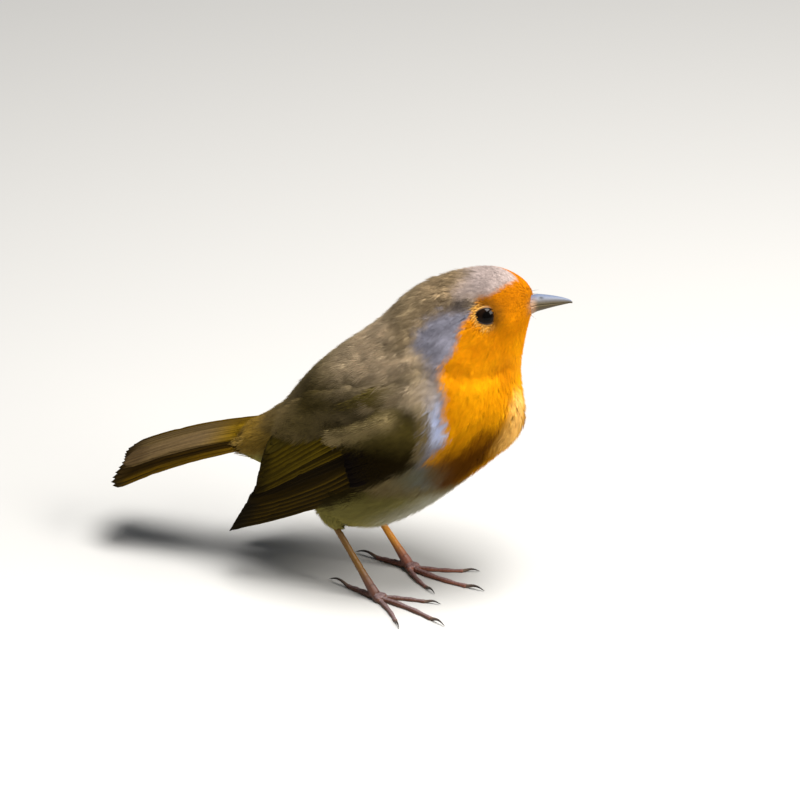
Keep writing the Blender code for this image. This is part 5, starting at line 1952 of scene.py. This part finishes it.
# %% [markdown]
# ## Legs and feet
#
# Below the feathered ankle a robin's leg is bare: a slender tarsus, three toes in front and one
# behind. One skin covers tarsus and toes, so they are fused by a fine remesh. The scales are real
# dents: shallow rings across the top of each toe and wider plates down the front of the tarsus,
# measured along each part's own axis. The joint where they meet is smoothed over, and the soles
# are smooth and paler. The left leg is painted lighter and the right darker, as painted light and
# shade, and the tops of the toes carry a painted highlight.

# %% Measures of the leg
LEG_VOXEL, LEG_ROUNDS = 0.13, 5
TOE_NAMES = ["hind", "inner", "middle", "outer"]
# the scales' spacing and depth, and the axis they face with the fade of their edge on it
SHANK_SCALES, TOE_SCALES = (2.3, 0.055, 0, -0.25, 0.6), (1.02, 0.060, 2, -0.1, 0.5)
TOP_BALL, KNUCKLE = 0.80, 1.12
JOINT_REACH, JOINT_ROUNDS = 3.0, 60
# The left leg is painted lighter and the right darker: painted light and shade.
SHANK_LIGHT_AND_SHADE = {"left": (0.52, 0.20, 0.012), "right": (0.125, 0.055, 0.003)}
TOE_LIGHT_AND_SHADE = {"left": (0.19, 0.066, 0.040), "right": (0.095, 0.037, 0.022)}
# A painted highlight on the tops of the toes.
TOE_HIGHLIGHT, SOLE = (0.19, 0.147, 0.158), (0.13, 0.065, 0.020)


def own_axis(points):
    """The middle of a slender part, its direction, and how far each point is along it."""
    middle = points.mean(axis=0)
    way = np.linalg.svd(points - middle, full_matrices=False)[2][0]
    return middle, way, (points - middle) @ way


def links(shank, toes):
    """Balls that join the shank to the thigh above and to the roots of the toes below."""
    bottom = shank[shank[:, 2] < shank[:, 2].min() + 1.2].mean(axis=0)
    top = shank[shank[:, 2] > shank[:, 2].max() - 0.8].mean(axis=0)
    upward = unit(top - bottom)
    found = [(top + upward * rise, TOP_BALL) for rise in np.arange(-0.5, 2.6, 0.4)]
    for toe in toes:
        far = np.linalg.norm(toe - bottom, axis=1)
        root = toe[far < far.min() + 0.9].mean(axis=0)
        inward = unit(toe.mean(axis=0) - root) * 0.5
        for share in np.linspace(0, 1, 7):
            found.append((bottom + (root + inward - bottom) * share, KNUCKLE * (1 - 0.22 * share)))
    return found


for side_name in SIDES:
    print(side_name, "shank", round(float(np.ptp(own_axis(node_points("tarsus_" + side_name))[2])), 1), "mm")

# %% Leg skin
def leg_mesh(side_name):
    """One leg as a skin over tarsus and toes, with its scales pressed in."""
    parts = [f"tarsus_{side_name}"] + [f"toe_{side_name}_{toe}" for toe in TOE_NAMES]
    balls = links(node_points(parts[0]), [node_points(part) for part in parts[1:]])
    balls = [(np.maximum(middle, (-1e9, -1e9, radius)), radius) for middle, radius in balls]
    mesh = fused("leg_" + side_name, parts, LEG_VOXEL, LEG_ROUNDS, balls)
    points, normals = points_of(mesh), normals_of(mesh)
    moved = points.copy()
    # A painted highlight on the toes' tops, over toes painted lighter on the left and darker on the right.
    tint = painted(TOE_LIGHT_AND_SHADE[side_name], TOE_HIGHLIGHT, 0.55 * fade(normals[:, 2], 0.45, 0.4))
    axes, gaps = [own_axis(node_points(part)) for part in parts], []
    for middle, way, span in axes:
        along = np.clip((points - middle) @ way, span.min(), span.max())
        gaps.append(np.linalg.norm(points - middle - along[:, None] * way, axis=1))
    nearest = np.argmin(gaps, axis=0)
    for number, (middle, way, span) in enumerate(axes):
        own = nearest == number
        along = (points - middle) @ way - span.min()
        spacing, depth, axis, begin, length = TOE_SCALES if number else SHANK_SCALES
        front = fade(normals[:, axis], begin, length)
        groove = (0.5 + 0.5 * np.cos(2 * math.pi * along / spacing)) ** 7
        moved[own] -= (normals * (depth * groove * front)[:, None])[own]
        tint[own] *= (1 - 0.35 * groove * front)[own][:, None]
        if number:
            tint[own] = painted(tint, SOLE, 0.8 * fade(normals[:, 2], -0.2, -0.4))[own]
    # The shank's colour, painted lighter on the left leg and darker on the right.
    tint = painted(tint, SHANK_LIGHT_AND_SHADE[side_name], fade(points[:, 2], 3.0, 6.0))
    foot = np.mean([middle for middle, radius in balls if radius == KNUCKLE], axis=0)
    share = np.exp(-((np.linalg.norm(moved - foot, axis=1) / JOINT_REACH) ** 4))[:, None]
    place_points(mesh, relaxed(moved, edge_ends(mesh), JOINT_ROUNDS, share))
    smooth_shaded(mesh)
    mesh.materials.clear()
    mesh.materials.append(leg_finish)
    put_colour(mesh, tint)
    show("leg_skin_" + side_name, mesh, parts)


leg_finish = horn_finish("leg_scales", 0.50, 0.08)
for side_name in SIDES:
    leg_mesh(side_name)

# %% [markdown]
# ### Claws
#
# A claw is a curved, tapering cone of horn, set a little way into the end of its toe. Each is
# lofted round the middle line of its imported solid: the middle and the thickness at a few stations
# are read from the solid's points, so the claw keeps its place, curve and length, but gets a round
# section, a fine point and polished horn that is paler at the root.

# %% Claws
CLAW_RINGS, CLAW_SIDES = 16, 14
CLAW_INTO_TOE = 0.9
CLAW_ROOT, CLAW_TIP = (0.13, 0.085, 0.06), (0.030, 0.024, 0.021)


def claw_loft(name, toe):
    """Rings of points round one packed claw's middle line, and how far along each is."""
    own = node_points(name)
    middle, way, span = own_axis(own)
    if (middle_of(toe) - middle) @ way > 0:
        way, span = -way, -span
    tip = own[span.argmax()]
    stations = np.linspace(span.min(), span.max() - 0.12 * np.ptp(span), 7)
    weight = np.exp(-(((span[None] - stations[:, None]) / (0.13 * np.ptp(span))) ** 2))
    weight /= weight.sum(axis=1, keepdims=True)
    middles = weight @ own
    first = middles[0] - CLAW_INTO_TOE * unit(middles[1] - middles[0])
    line = through(np.vstack([first, middles, tip]), 6)
    line = line[np.linspace(0, len(line) - 1, CLAW_RINGS).round().astype(int)]
    share = np.linspace(0, 1, CLAW_RINGS)
    spread = np.linalg.norm(own - middle - span[:, None] * way, axis=1)
    thick = max(0.34, min(0.5, np.sqrt((spread[span < 0] ** 2).mean())))
    rings = swept(line, thick * (1 - share) ** 0.75 + 0.03, CLAW_SIDES, (0, 0, 1), flat=0.78)
    return rings, np.repeat(share, CLAW_SIDES)


def claw_piece(side_name):
    points, faces, tints = [], [], []
    names = [f"claw_{side_name}_{toe}" for toe in TOE_NAMES]
    for name in names:
        rings, share = claw_loft(name, name.replace("claw", "toe"))
        faces += tube_faces(CLAW_RINGS, CLAW_SIDES, count_of(points))
        points.append(rings)
        tints.append(painted(CLAW_ROOT, CLAW_TIP, eased(share / 0.7)))
    closed_piece("claws_" + side_name, points, faces, tints, horn, names)


for side_name in SIDES:
    claw_piece(side_name)
